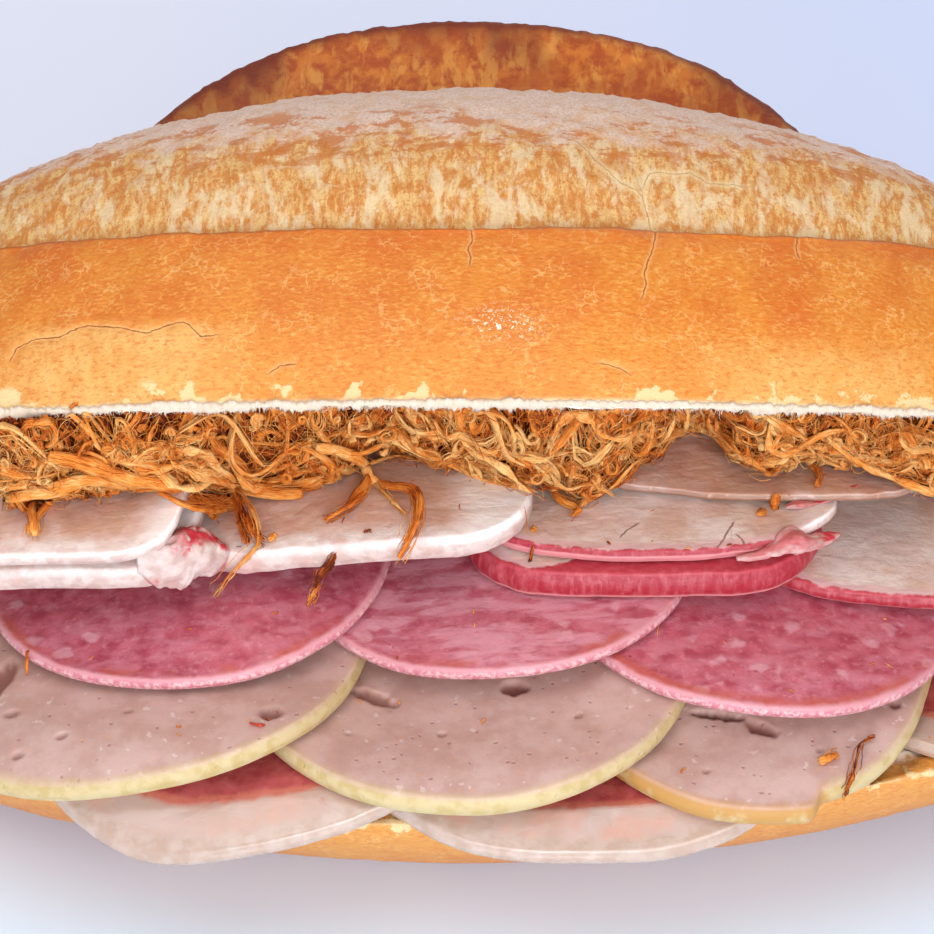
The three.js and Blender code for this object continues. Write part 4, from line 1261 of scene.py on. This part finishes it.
def scraps():
    """Stray bits of floss on the slices: short bent tubes laid on the height grid."""
    rng = np.random.default_rng(5)
    steps = 14
    u = np.linspace(-0.5, 0.5, steps)[None, :]
    table = np.array(SCRAPS)
    spans = ((-75, 75), (-44, 4), (0.4, 1.6), (0.06, 0.16), (0, 180), (0.1, 0.9))
    more = np.stack([rng.uniform(low, high, STRAY_SCRAPS) for low, high in spans], 1)
    table = np.concatenate([table, more])
    x0, y0, long, thick, turn, tone = (table[:, [k]] for k in range(6))
    angle = np.radians(turn) + rng.normal(0, 1.3, x0.shape) * u
    step = long / (steps - 1)
    px, py = np.cumsum(np.cos(angle), 1) * step, np.cumsum(np.sin(angle), 1) * step
    x, y = x0 + px - px.mean(1, keepdims=True), y0 + py - py.mean(1, keepdims=True)
    radii = thick * (1 - (2 * u) ** 4 * 0.9) * (1 + 0.2 * rng.normal(0, 1, x.shape))
    z = at_grid(widen(support, 1), x, y) + 0.6 * thick
    keep = at_grid(support, x, y).min(1) > 10
    tone = tone + 0 * x
    radii = np.clip(radii, 0.04, 1.2)[keep]
    paths = np.stack([x, y, z], -1)[keep]
    return swept("floss_scraps", paths, radii, 0.7 * radii, 0 * radii, tone[keep], 6, 0.2)


def chilli_chip():
    """A shred of chilli on the left pork roll: one short flat tube, a little bent, pinched at its ends."""
    u = np.linspace(-1, 1, 14)[None, :]
    x = -28.8 + 1.15 * u
    y = -37.8 - 0.25 * u + 0.25 * u**2
    z = at_grid(widen(support, 1), x, y) + 0.25
    wide = 0.42 * np.sqrt(np.maximum(1 - u**4, 0.02)) * (1 + 0.25 * np.sin(5 * u))
    return swept("chilli_chip", np.stack([x, y, z], -1), wide, 0.45 * wide, 0 * u, 0 * u, 10, 0.1)


# ------------------------------------------------------------------ finishes
def colour(red, green, blue):
    """The linear colour of a screen colour given by three numbers, 0 to 255."""
    c = np.array([red, green, blue]) / 255
    return tuple(np.where(c < 0.04045, c / 12.92, ((c + 0.055) / 1.055) ** 2.4)) + (1.0,)


class Finish:
    """One procedural material: short calls add nodes and return their sockets; sizes are in millimetres."""

    def __init__(self, name, roughness, **shader):
        """Shader settings are the sockets' names with underscores for blanks."""
        self.material = bpy.data.materials.new(name)
        self.material.use_nodes = True
        self.tree = self.material.node_tree
        self.shader = self.tree.nodes["Principled BSDF"]
        self.shader.inputs["Roughness"].default_value = roughness
        for key, value in shader.items():
            self.shader.inputs[key.replace("_", " ")].default_value = value
        metres = self.tree.nodes.new("ShaderNodeTexCoord").outputs["Object"]
        self.place = self.stretch((1 / MM,) * 3, metres)

    def wire(self, socket, value):
        """Link a socket to another, or give it a plain value."""
        if isinstance(value, bpy.types.NodeSocket):
            self.tree.links.new(value, socket)
        else:
            socket.default_value = value

    def stretch(self, scale, where=None, turn=(0, 0, 0)):
        """The place scaled along each axis, then turned: a scale below 1 draws a pattern out."""
        node = self.tree.nodes.new("ShaderNodeMapping")
        self.wire(node.inputs["Vector"], where or self.place)
        node.inputs["Scale"].default_value = scale
        node.inputs["Rotation"].default_value = turn
        return node.outputs["Vector"]

    def noise(self, size, detail=4.0, rough=0.55, warp=0.0, where=None):
        """Clouds of the given size, 0 to 1."""
        node = self.tree.nodes.new("ShaderNodeTexNoise")
        self.wire(node.inputs["Vector"], where or self.place)
        node.inputs["Scale"].default_value = 1 / size
        node.inputs["Detail"].default_value = detail
        node.inputs["Roughness"].default_value = rough
        node.inputs["Distortion"].default_value = warp
        return node.outputs["Fac"]

    def cells(self, size, feature="F1", where=None):
        """Distance to the nearest of scattered points, or to the edges between them."""
        node = self.tree.nodes.new("ShaderNodeTexVoronoi")
        node.feature = feature
        self.wire(node.inputs["Vector"], where or self.place)
        node.inputs["Scale"].default_value = 1 / size
        return node.outputs["Distance"]

    def warped(self, size, amount):
        """The place pushed about by a coloured noise."""
        node = self.tree.nodes.new("ShaderNodeTexNoise")
        self.wire(node.inputs["Vector"], self.place)
        node.inputs["Scale"].default_value = 1 / size
        scaled = self.tree.nodes.new("ShaderNodeVectorMath")
        scaled.operation = "MULTIPLY_ADD"
        self.wire(scaled.inputs[0], node.outputs["Color"])
        scaled.inputs[1].default_value = (amount,) * 3
        self.wire(scaled.inputs[2], self.place)
        return scaled.outputs["Vector"]

    def value(self, attribute):
        """A number that the mesh carries; 0 where it has none by that name."""
        node = self.tree.nodes.new("ShaderNodeAttribute")
        node.attribute_name = attribute
        return node.outputs["Fac"]

    def vector(self, attribute):
        """A vector that the mesh carries."""
        node = self.tree.nodes.new("ShaderNodeAttribute")
        node.attribute_name = attribute
        return node.outputs["Vector"]

    def maths(self, operation, a, b=0.0, clamp=False):
        """One sum on two values."""
        node = self.tree.nodes.new("ShaderNodeMath")
        node.operation = operation
        node.use_clamp = clamp
        self.wire(node.inputs[0], a)
        self.wire(node.inputs[1], b)
        return node.outputs[0]

    def some(self, amount, share):
        """The product of two values."""
        return self.maths("MULTIPLY", amount, share)

    def sway(self, amount, *noise):
        """A noise about nought, times an amount."""
        return self.some(self.maths("SUBTRACT", self.noise(*noise), 0.5), amount)

    def range(self, value, low, high, start=0.0, end=1.0):
        """A smooth step from start, where the value is low, to end, where it is high."""
        node = self.tree.nodes.new("ShaderNodeMapRange")
        node.interpolation_type = "SMOOTHSTEP"
        self.wire(node.inputs["Value"], value)
        for key, number in (("From Min", low), ("From Max", high), ("To Min", start), ("To Max", end)):
            node.inputs[key].default_value = number
        return node.outputs["Result"]

    def blend(self, share, a, b):
        """Colour a where the share is 0, b where it is 1."""
        node = self.tree.nodes.new("ShaderNodeMix")
        node.data_type = "RGBA"
        self.wire(node.inputs["Factor"], share)
        # Sockets 6 and 7 are the two colours, and output 2 is the mixed one.
        self.wire(node.inputs[6], a)
        self.wire(node.inputs[7], b)
        return node.outputs[2]

    def finish(self, base, relief=None, rough=None, height=0.2, strength=0.6):
        """Ends in the shader: base colour, roughness and a bump of the given height in millimetres."""
        self.wire(self.shader.inputs["Base Color"], base)
        if rough is not None:
            self.wire(self.shader.inputs["Roughness"], rough)
        if relief is not None:
            bump = self.tree.nodes.new("ShaderNodeBump")
            bump.inputs["Strength"].default_value = strength
            bump.inputs["Distance"].default_value = height * MM
            self.wire(bump.inputs["Height"], relief)
            self.wire(self.shader.inputs["Normal"], bump.outputs["Normal"])
        return self.material


def band_colour(f, lip, score, line, mottle, patch, fleck):
    """The band: orange, paler towards the lip and in named spots, flecked, creased and cracked; a painted
    highlight in its middle and a painted shadow line along the score.
    """
    some = f.some
    orange = f.blend(f.range(patch, 0.36, 0.68), colour(212, 128, 42), colour(202, 104, 28))
    orange = f.blend(some(f.value("baked"), f.range(mottle, 0.3, 0.6, 0.9, 0.4)), orange, colour(200, 92, 26))
    near_lip = f.range(f.maths("ADD", lip, some(patch, 10)), -11, 2)
    orange = f.blend(some(near_lip, 0.55), orange, colour(224, 150, 68))
    paler = some(f.value("pale"), f.range(mottle, 0.3, 0.6, 0.3, 0.9))
    orange = f.blend(paler, orange, colour(228, 172, 98))
    lit = some(f.range(fleck, 0.5, 0.66), f.range(mottle, 0.35, 0.65, 0.15, 0.55))
    orange = f.blend(lit, orange, colour(232, 174, 90))
    wrinkles = f.cells(2.1, "DISTANCE_TO_EDGE", f.warped(1.1, 2.0))
    creased = some(f.range(f.noise(4.5, 3, 0.6), 0.48, 0.62), f.range(wrinkles, 0.075, 0.02))
    orange = f.blend(some(creased, 0.34), orange, colour(242, 196, 124))
    orange = f.blend(some(f.range(fleck, 0.48, 0.34), 0.5), orange, colour(198, 92, 20))
    below_score = some(f.range(score, 4.5, 0), f.range(mottle, 0.35, 0.6, 0.1, 0.55))
    orange = f.blend(below_score, orange, colour(204, 98, 26))
    # Painted shadow: a thin dark line along the score's edge, where the band stands out over the bloom.
    orange = f.blend(some(f.range(score, 0.35, 0.1), 0.35), orange, colour(160, 84, 36))
    # Painted highlight: a near-white patch on the middle of the band; the same mask lowers the roughness
    # there.
    painted_highlight_and_gloss = some(f.value("gloss_and_painted_highlight"), f.range(f.noise(0.5, 3, 0.6, 0.8), 0.56, 0.62))
    orange = f.blend(painted_highlight_and_gloss, orange, colour(255, 246, 222))
    scallop = f.maths("ADD", lip, some(f.range(f.noise(4.2, 4, 0.62), 0.5, 0.66), 2.8))
    orange = f.blend(some(f.range(scallop, -1.5, -0.5), 0.8), orange, colour(236, 206, 152))
    white = f.maths("ADD", lip, f.sway(1.6, 0.9, 4, 0.7))
    orange = f.blend(f.range(white, -0.95, -0.35), orange, colour(226, 210, 186))
    beside = f.value("beside")
    orange = f.blend(some(beside, f.range(line, 0.6, 0.15, 0, 0.35)), orange, colour(236, 184, 116))
    # Painted shade: the thin dark line inside each crack.
    orange = f.blend(some(beside, f.range(line, 0.12, 0.05, 0, 0.85)), orange, colour(136, 62, 20))
    return orange, painted_highlight_and_gloss


def bloom_colour(f, score, line, mottle, patch, fine, streak):
    """The bloom: cream and orange tongues at its foot, blotches half-way up, paler and pinker on top, fine
    cracks with painted shade in them.
    """
    some = f.some
    bloom = f.blend(f.range(streak, 0.38, 0.6), colour(240, 196, 128), colour(218, 140, 66))
    bloom = f.blend(some(f.range(f.noise(0.55, 4, 0.65), 0.52, 0.66), 0.6), bloom, colour(206, 106, 36))
    tongue = f.noise(3.4, 6, 0.68, 0.3, f.stretch((1.2, 0.45, 0.45)))
    bloom = f.blend(some(f.range(tongue, 0.5, 0.6), 0.7), bloom, colour(245, 220, 176))
    warm = some(f.range(f.noise(1.9, 6, 0.72, 0.3), 0.5, 0.66), f.range(patch, 0.4, 0.6))
    bloom = f.blend(some(warm, 0.45), bloom, colour(210, 118, 46))
    foot = some(f.range(score, -2.6, -0.3), f.range(fine, 0.3, 0.6, 0.4, 0.9))
    bloom = f.blend(foot, bloom, colour(204, 154, 116))
    above = f.maths("ADD", score, f.sway(24.0, 5, 4, 0.65, 0.4))
    paler_top = f.blend(f.range(fine, 0.34, 0.62), colour(218, 182, 158), colour(242, 212, 194))
    paler_top = f.blend(some(f.range(mottle, 0.48, 0.66), 0.55), paler_top, colour(224, 172, 126))
    bloom = f.blend(f.range(above, -17, -25), bloom, paler_top)
    border = some(f.range(score, -10, -17), f.range(score, -34, -25))
    blotch = f.range(f.noise(3.6, 6, 0.74, 0.3, f.stretch((0.6, 1.0, 1.0))), 0.5, 0.58)
    bloom = f.blend(some(some(border, blotch), 0.8), bloom, colour(208, 120, 52))
    plates = f.cells(6.5, "DISTANCE_TO_EDGE", f.warped(1.6, 2.4))
    where = some(f.range(f.noise(11, 2), 0.54, 0.62), some(f.range(score, -1, -4), f.range(score, -26, -15)))
    bloom = f.blend(some(where, f.range(plates, 0.07, 0.02, 0, 0.3)), bloom, colour(244, 220, 180))
    beside = f.value("beside")
    bloom = f.blend(some(beside, f.range(line, 1.1, 0.2, 0, 0.5)), bloom, colour(246, 220, 170))
    # Painted shade: the thin dark line inside each crack.
    return f.blend(some(beside, f.range(line, 0.12, 0.04, 0, 0.6)), bloom, colour(176, 108, 56))


def ear_colour(f, mottle, patch):
    """The ear and the back: browned crust with drawn-out yellow patches, nearly burnt where it is toasted."""
    some = f.some
    brown = f.blend(f.range(mottle, 0.38, 0.62), colour(176, 78, 24), colour(210, 120, 42))
    yellow = f.noise(2.4, 4, 0.62, 0.3, f.stretch((1.0, 0.5, 0.5)))
    brown = f.blend(some(f.range(yellow, 0.47, 0.6), 0.7), brown, colour(230, 158, 70))
    brown = f.blend(some(f.range(patch, 0.5, 0.62), 0.6), brown, colour(172, 76, 22))
    return f.blend(some(f.value("toast"), 0.95), brown, colour(112, 40, 16))


def crust_finish():
    """Baked crust by zone: orange band, bloom paler on top, browned ear and pale crumb, chosen by attributes.
    """
    f = Finish("baked_crust", 0.5, Specular_IOR_Level=0.3)
    some = f.some
    lip, score = f.value("from_lip"), f.value("from_score")
    mottle = f.noise(2.6, 5, 0.62, 0.3)
    patch = f.noise(12, 4, 0.6, 0.4)
    fine = f.noise(0.42, 4, 0.7)
    fleck = f.noise(0.5, 3, 0.6, 0.2, f.stretch((0.55, 1.2, 1.2)))
    streak = f.noise(1.1, 5, 0.72, 0.3, f.stretch((1.2, 0.4, 0.4)))
    line = f.maths("ABSOLUTE", f.maths("ADD", f.value("split"), f.sway(0.5, 0.9, 3)))
    orange, painted_highlight_and_gloss = band_colour(f, lip, score, line, mottle, patch, fleck)
    bloom = bloom_colour(f, score, line, mottle, patch, fine, streak)
    holes = f.cells(1.5, where=f.warped(1.5, 1.2))
    # Painted shade: the crumb is darker towards the middle of each pore.
    crumb = f.blend(f.range(holes, 0.1, 0.45), colour(226, 190, 142), colour(251, 243, 228))
    crumb = f.blend(some(f.range(patch, 0.5, 0.7), 0.3), crumb, colour(244, 222, 180))

    base = f.blend(f.value("bloom"), orange, bloom)
    base = f.blend(f.value("ear"), base, ear_colour(f, mottle, patch))
    base = f.blend(f.value("crumb"), base, crumb)
    relief = f.maths("ADD", some(fleck, 0.7), some(mottle, 0.5))
    relief = f.maths("ADD", relief, some(f.value("bloom"), some(f.maths("ADD", fine, streak), 2.2)))
    relief = f.maths("ADD", relief, some(f.value("crumb"), some(holes, 2.5)))
    matt = f.maths("MAXIMUM", f.value("bloom"), f.value("crumb"))
    rough = f.maths("ADD", f.range(fleck, 0.4, 0.7, 0.4, 0.56), some(matt, 0.4))
    rough = f.maths("SUBTRACT", rough, some(painted_highlight_and_gloss, 0.25), True)
    return f.finish(base, relief, rough, 0.35, 0.6)


# Light goes a little way into cold meat.
MOIST = dict(Subsurface_Weight=0.1, Subsurface_Scale=0.0015)


def rimmed(f, core, rim, low, high):
    """core in the middle of a slice, rim over its edge: the change lies low to high mm inside the edge."""
    wavy = f.maths("ADD", f.value("edge"), f.some(f.noise(2.5, 3), 1.4))
    return f.blend(f.range(wavy, low + 0.7, high + 0.7), rim, core)


def ham_finish():
    """Moist cooked ham: rose lean, a thin peach line, a broad band of fat and a greyer rind."""
    f = Finish("cooked_ham", 0.3, Specular_IOR_Level=0.5, Subsurface_Weight=0.15, Subsurface_Scale=0.002)
    f.shader.inputs["Coat Weight"].default_value = 0.4
    f.shader.inputs["Coat Roughness"].default_value = 0.12
    lean = f.blend(f.range(f.noise(2.6, 5, 0.6), 0.35, 0.65), colour(172, 66, 70), colour(196, 92, 92))
    cloudy = f.noise(8, 2, 0.5, 0.4)
    fat = f.blend(f.range(cloudy, 0.25, 0.75), colour(190, 154, 138), colour(195, 168, 156))
    fat = f.blend(f.some(f.range(f.noise(7, 3, 0.5), 0.5, 0.66), 0.5), fat, colour(212, 150, 128))
    base = rimmed(f, f.blend(0.4, lean, colour(220, 138, 104)), fat, 5.0, 6.0)
    base = rimmed(f, lean, base, 6.2, 7.0)
    rind = f.blend(f.range(f.noise(2.4, 3), 0.35, 0.65), colour(184, 154, 136), colour(196, 170, 156))
    base = rimmed(f, base, rind, 1.0, 2.2)
    base = f.blend(f.range(f.value("wall"), 0.2, 0.5), base, rind)
    wet = f.noise(4.5, 3, 0.5, 0.5, f.stretch((0.5, 1.0, 1.0)))
    return f.finish(base, wet, f.range(wet, 0.3, 0.7, 0.16, 0.36), 0.6, 0.4)


def roll_finish():
    """Steamed pork roll: fine greyish-pink paste with specks, pits and air holes painted darker as shade, and
    a cream-yellow skin.
    """
    f = Finish("steamed_pork_roll", 0.42, Specular_IOR_Level=0.4, **MOIST)
    paste = f.blend(f.range(f.noise(5, 5, 0.6), 0.35, 0.65), colour(190, 150, 138), colour(204, 168, 158))
    pits = f.cells(2.3, where=f.warped(3, 1.0))
    pit = f.range(pits, 0.15, 0.05)
    # Painted shade: the paste is darker in its pits.
    paste = f.blend(f.some(pit, 0.5), paste, colour(166, 114, 102))
    specks = f.range(f.noise(1.2, 3, 0.5), 0.65, 0.71)
    paste = f.blend(f.some(specks, 0.45), paste, colour(216, 158, 122))
    pale = f.range(f.noise(1.7, 2, 0.5), 0.66, 0.72)
    paste = f.blend(f.some(pale, 0.5), paste, colour(226, 204, 198))
    # Painted shade: the air holes' dents are painted darker.
    paste = f.blend(f.value("hole"), paste, colour(150, 102, 92))
    rim = f.blend(f.range(f.noise(2.2, 4), 0.35, 0.6), colour(192, 164, 108), colour(204, 180, 134))
    rim = f.blend(f.some(f.value("old"), f.range(f.noise(6, 3), 0.36, 0.5)), rim, colour(192, 140, 74))
    base = rimmed(f, paste, f.blend(0.5, paste, rim), 0.1, 1.3)
    base = f.blend(f.range(f.value("wall"), 0.03, 0.22), base, rim)
    relief = f.maths("SUBTRACT", f.some(f.noise(0.5, 3), 0.25), pit)
    return f.finish(base, relief, f.range(f.noise(1.5, 3), 0.3, 0.7, 0.34, 0.5), 0.3, 0.45)


def salami_finish():
    """Pink sausage: smeared lean, pale lumps, dark specks, an oily flush near the edge and a pale rim."""
    f = Finish("salami", 0.36, Specular_IOR_Level=0.45, **MOIST)
    some = f.some
    lean = f.blend(f.range(f.noise(2.6, 3, 0.5, 0.3), 0.3, 0.7), colour(172, 68, 86), colour(202, 104, 120))
    smear = f.noise(3.4, 3, 0.5, 0.4, f.stretch((0.8, 1.4, 1.0)))
    base = f.blend(some(f.range(smear, 0.4, 0.7), 0.6), lean, colour(212, 132, 146))
    lump = f.range(f.cells(5.2, where=f.warped(2.6, 3.2)), 0.3, 0.12)
    base = f.blend(some(lump, 0.65), base, colour(226, 170, 180))
    base = f.blend(some(f.range(f.noise(1.1, 3, 0.55, 0.2), 0.52, 0.72), 0.4), base, colour(222, 152, 162))
    streaks = f.noise(4.2, 4, 0.55, 0.6, f.stretch((0.6, 1.7, 1.0), None, (0, 0, 0.5)))
    streaky = some(f.value("fatty"), f.range(streaks, 0.4, 0.62, 0.05, 0.75))
    base = f.blend(streaky, base, colour(226, 160, 172))
    specks = f.range(f.cells(3.1, where=f.warped(2, 0.8)), 0.07, 0.03)
    base = f.blend(some(specks, 0.6), base, colour(128, 40, 44))
    oily = some(f.range(f.noise(9, 3), 0.45, 0.6), 0.75)
    base = f.blend(oily, base, rimmed(f, base, colour(196, 92, 74), 0.9, 2.6))
    base = rimmed(f, base, colour(212, 144, 150), 0.0, 1.0)
    pale = f.blend(f.range(f.noise(0.8, 4, 0.65), 0.42, 0.6), colour(200, 118, 130), colour(222, 174, 174))
    base = f.blend(f.range(f.value("wall"), 0.1, 0.4), base, pale)
    relief = f.maths("ADD", f.noise(0.7, 4), some(lump, 0.5))
    return f.finish(base, relief, f.range(smear, 0.4, 0.65, 0.3, 0.44), 0.25, 0.45)


def roast_finish(name, dyed):
    """Cold roast pork: pale grained lean with a white edge of fat, or with a rim dyed red."""
    f = Finish(name, 0.42, Specular_IOR_Level=0.4, **MOIST)
    some = f.some
    dark, light = ((226, 198, 188), (240, 224, 216)) if dyed else ((212, 168, 148), (230, 202, 190))
    lean = f.blend(f.range(f.noise(7, 5, 0.6, 0.3), 0.35, 0.65), colour(*dark), colour(*light))
    lean = f.blend(some(f.range(f.noise(9, 4, 0.6, 0.4), 0.48, 0.6), 0.42), lean, colour(208, 164, 128))
    grain = f.noise(1.8, 4, 0.58, 0.5, f.stretch((0.6, 1.4, 1.0)))
    lean = f.blend(some(f.range(grain, 0.5, 0.7), 0.22), lean, colour(198, 148, 132))
    level = f.blend(f.range(f.noise(2.6, 4), 0.4, 0.6), colour(230, 212, 204), colour(242, 232, 226))
    fat = f.blend(f.range(f.noise(2.2, 4), 0.4, 0.6), colour(202, 174, 164), colour(219, 200, 192))
    fat = f.blend(f.range(f.value("wall"), 0.1, 0.4), level, fat)
    fat = f.blend(some(f.range(f.noise(4, 4), 0.5, 0.66), 0.5), fat, colour(216, 174, 164))
    if dyed:
        base = rimmed(f, lean, colour(226, 186, 184), 1.0, 2.4)
        smear = f.noise(1.1, 4, 0.6, 0.2, f.stretch((1.2, 1.2, 0.22)))
        red = f.blend(f.range(smear, 0.4, 0.72), colour(168, 40, 54), colour(190, 88, 96))
        past = f.maths("ADD", f.maths("SUBTRACT", f.value("edge"), f.value("dye")), f.sway(1.6, 1.6, 3))
        base = f.blend(f.range(past, 0.5, -0.1), base, f.blend(0.5, red, colour(200, 72, 84)))
        low = f.maths("ADD", f.value("wall"), some(f.value("thin"), 0.5))
        side = f.blend(f.range(low, 0.8, 0.92), red, colour(214, 134, 136))
        base = f.blend(f.range(f.value("wall"), 0.03, 0.16), base, side)
    else:
        base = rimmed(f, lean, fat, 1.2, 4.5)
        base = f.blend(f.range(f.value("wall"), 0.05, 0.3), base, fat)
    # The fatty ends are white fat, painted brighter than the fat elsewhere: partly the fat's own colour,
    # partly painted light.
    white = f.blend(f.range(f.value("wall"), 0.1, 0.4), colour(252, 246, 242), fat)
    base = f.blend(f.value("fatty"), base, white)
    base = f.blend(some(f.value("stain"), f.range(grain, 0.3, 0.5)), base, colour(196, 48, 62))
    seam = f.maths("ABSOLUTE", f.maths("ADD", f.value("seam"), f.sway(0.8, 2, 3)))
    # Dark hairlines on the lean; on the back slice the same brown is painted shade along its cut edge.
    base = f.blend(some(f.value("hairline_and_shade"), f.range(seam, 0.2, 0.08, 0, 0.8)), base, colour(132, 84, 62))
    relief = f.maths("ADD", grain, some(f.noise(0.8, 3), 0.5))
    return f.finish(base, relief, f.range(grain, 0.3, 0.7, 0.34, 0.52), 0.3, 0.5)


def floss_finish():
    """Dry shredded pork: red-brown to gold by each strand's tone, which is partly painted shade, darker
    deeper in the heap; streaked along its fibres.
    """
    f = Finish("pork_floss_fibre", 0.65, Specular_IOR_Level=0.2)
    streak = f.noise(0.17, 4, 0.65, 0.0, f.stretch((1.0, 1.0, 0.08), f.vector("fibre")))
    tone = f.maths("ADD", f.value("tone"), f.range(streak, 0.3, 0.7, -0.3, 0.3))
    tone = f.maths("ADD", tone, f.range(f.noise(4, 3), 0.35, 0.65, -0.12, 0.18))
    base = f.blend(f.range(tone, 0.0, 0.32), colour(106, 38, 12), colour(206, 100, 30))
    base = f.blend(f.range(tone, 0.3, 0.62), base, colour(240, 146, 56))
    base = f.blend(f.range(tone, 0.62, 1.1), base, colour(252, 202, 128))
    return f.finish(base, streak, None, 0.35, 0.8)


def thread_finish():
    """Torn white crumb."""
    f = Finish("torn_crumb", 0.75, Specular_IOR_Level=0.2, Subsurface_Weight=0.1, Subsurface_Scale=0.001)
    base = f.blend(f.range(f.value("tone"), 0.5, 1.0), colour(204, 178, 148), colour(222, 206, 188))
    return f.finish(base, f.noise(0.25, 3), None, 0.1, 0.5)


def chilli_finish():
    """Glossy red chilli, mottled with orange."""
    f = Finish("chilli", 0.3, Specular_IOR_Level=0.5)
    return f.finish(f.blend(f.range(f.noise(0.6, 3), 0.4, 0.6), colour(184, 38, 22), colour(222, 84, 40)))


def floor_finish():
    """A pale table, cooler where "cool" says so; under "front" paler and bluer, with a faint blue glow of its
    own: painted light against the loaf's shadow and warm bounce.
    """
    f = Finish("pale_table", 0.6, Specular_IOR_Level=0.2)
    base = f.blend(f.range(f.noise(300, 2), 0.3, 0.7), colour(239, 241, 254), colour(241, 243, 255))
    base = f.blend(f.value("cool"), base, colour(214, 223, 251))
    # Painted light: a faint blue glow on the floor in front of the loaf.
    glow = f.blend(f.value("front"), (0.0, 0.0, 0.0, 1.0), (0.0, 0.02, 0.15, 1.0))
    f.wire(f.shader.inputs["Emission Color"], glow)
    f.shader.inputs["Emission Strength"].default_value = 1.0
    return f.finish(f.blend(f.value("front"), base, colour(221, 250, 255)))


# ------------------------------------------------------------------ putting it together
def dress(piece, material, slot, *nodes):
    """Give a piece its material and body, and name the nodes that it replaces; slot is not used."""
    piece.data.materials.append(material)
    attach(piece, "root")
    if nodes:
        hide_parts(*nodes)


crust = crust_finish()
finishes = {
    "ham": ham_finish(),
    "pork_roll": roll_finish(),
    "salami": salami_finish(),
    "roast_pork": roast_finish("roast_pork_pale", False),
    "red_roast_pork": roast_finish("roast_pork_dyed", True),
}
dress(lid_piece(), crust, "bread", "bread")
dress(base_piece(), crust, "bread", "bread")
for name, s in SLICES.items():
    dress(slice_piece(name, s), finishes[s["kind"]], s["kind"], name)
for name, (blush, places, dyed_from) in LUMPS.items():
    kind = "roast_pork" if "left" in name else "red_roast_pork"
    dress(lump(name, blush, places, dyed_from), finishes[kind], kind)
fibre = floss_finish()
for piece in floss_pieces():
    dress(piece, fibre, "pork_floss", "pork_floss")
dress(scraps(), fibre, "pork_floss")
dress(chilli_chip(), chilli_finish(), "pork_roll")
torn = thread_finish()
dress(lip_crumb(), torn, "bread")
dress(lip_threads(), torn, "bread")


# ------------------------------------------------------------------ floor, light and camera
def floor():
    """A level sheet in strips, bluer behind the loaf, and brighter and bluer in front of it: painted light
    that makes up for the loaf's shadow and its warm light.
    """
    x = np.array([-3000.0, -170, -75, 75, 170, 3000])
    y = np.array([-3000.0, -260, -150, -60, 20, 600, 3000])
    corners = np.stack(np.broadcast_arrays(x[:, None], y[None, :], 0.0), -1)
    n = len(y)
    i = (n * np.arange(len(x) - 1)[:, None] + np.arange(n - 1)[None, :]).ravel()
    faces = np.stack([i, i + n, i + n + 1, i + 1], 1)
    # Painted light: the strips in front of the loaf are brighter, bluer and glow.
    front = np.outer([0, 0, 1, 1, 0, 0], [0, 0, 0.8, 1, 0, 0, 0])
    cool = np.outer([0, 0, 0, 0.8, 1, 0], [0, 0, 0, 0, 1, 1, 0])
    sheet = smooth_mesh("floor", corners, faces, {"front": front, "cool": cool})
    sheet.data.materials.append(floor_finish())


def area_light(name, place, aim, size, power, tint):
    """A round lamp at a place, its -Z axis turned to face the aim; metres and watts."""
    light = bpy.data.lights.new(name, "AREA")
    light.shape = "DISK"
    light.size = size
    light.energy = power
    light.color = tint
    lamp = bpy.data.objects.new(name, light)
    bpy.context.scene.collection.objects.link(lamp)
    lamp.location = place
    toward = np.array(aim) - np.array(place)
    flat = math.hypot(toward[0], toward[1])
    lamp.rotation_euler = (math.atan2(flat, -toward[2]), 0, math.atan2(toward[0], -toward[1]) + math.pi)


CAMERA_PLACE = (0, -0.40627, 0.34931)
CAMERA_DOWN = 36


def camera():
    """Looks along +Y and down by CAMERA_DOWN degrees, from half a metre."""
    data = bpy.data.cameras.new("camera")
    data.lens = 135
    data.sensor_width = 36
    eye = bpy.data.objects.new("camera", data)
    bpy.context.scene.collection.objects.link(eye)
    eye.location = CAMERA_PLACE
    eye.rotation_euler = (math.radians(90 - CAMERA_DOWN), 0, 0)
    bpy.context.scene.camera = eye


def daylight():
    """An even, slightly blue sky, and the plain view transform that the finishes' colours are made for."""
    world = bpy.data.worlds.new("studio")
    bpy.context.scene.world = world
    world.use_nodes = True
    sky = world.node_tree.nodes["Background"]
    sky.inputs["Color"].default_value = (0.9, 0.93, 1.0, 1)
    sky.inputs["Strength"].default_value = 0.62
    bpy.context.scene.view_settings.view_transform = "Standard"


floor()
camera()
daylight()
area_light("key", (-0.22, -0.2, 0.7), (0, 0, 0.05), 0.55, 1.5, (1.0, 0.98, 0.96))
area_light("fill", (0.2, -0.75, 0.34), (0, 0, 0.04), 0.6, 3.4, (1.0, 0.98, 0.97))
area_light("bounce", (0, -0.5, 0.1), (0, -0.08, 0), 0.4, 1.3, (0.8, 0.9, 1.0))
area_light("rim", (0.2, 0.6, 0.5), (0, 0, 0.06), 0.5, 0.8, (0.95, 0.97, 1.0))
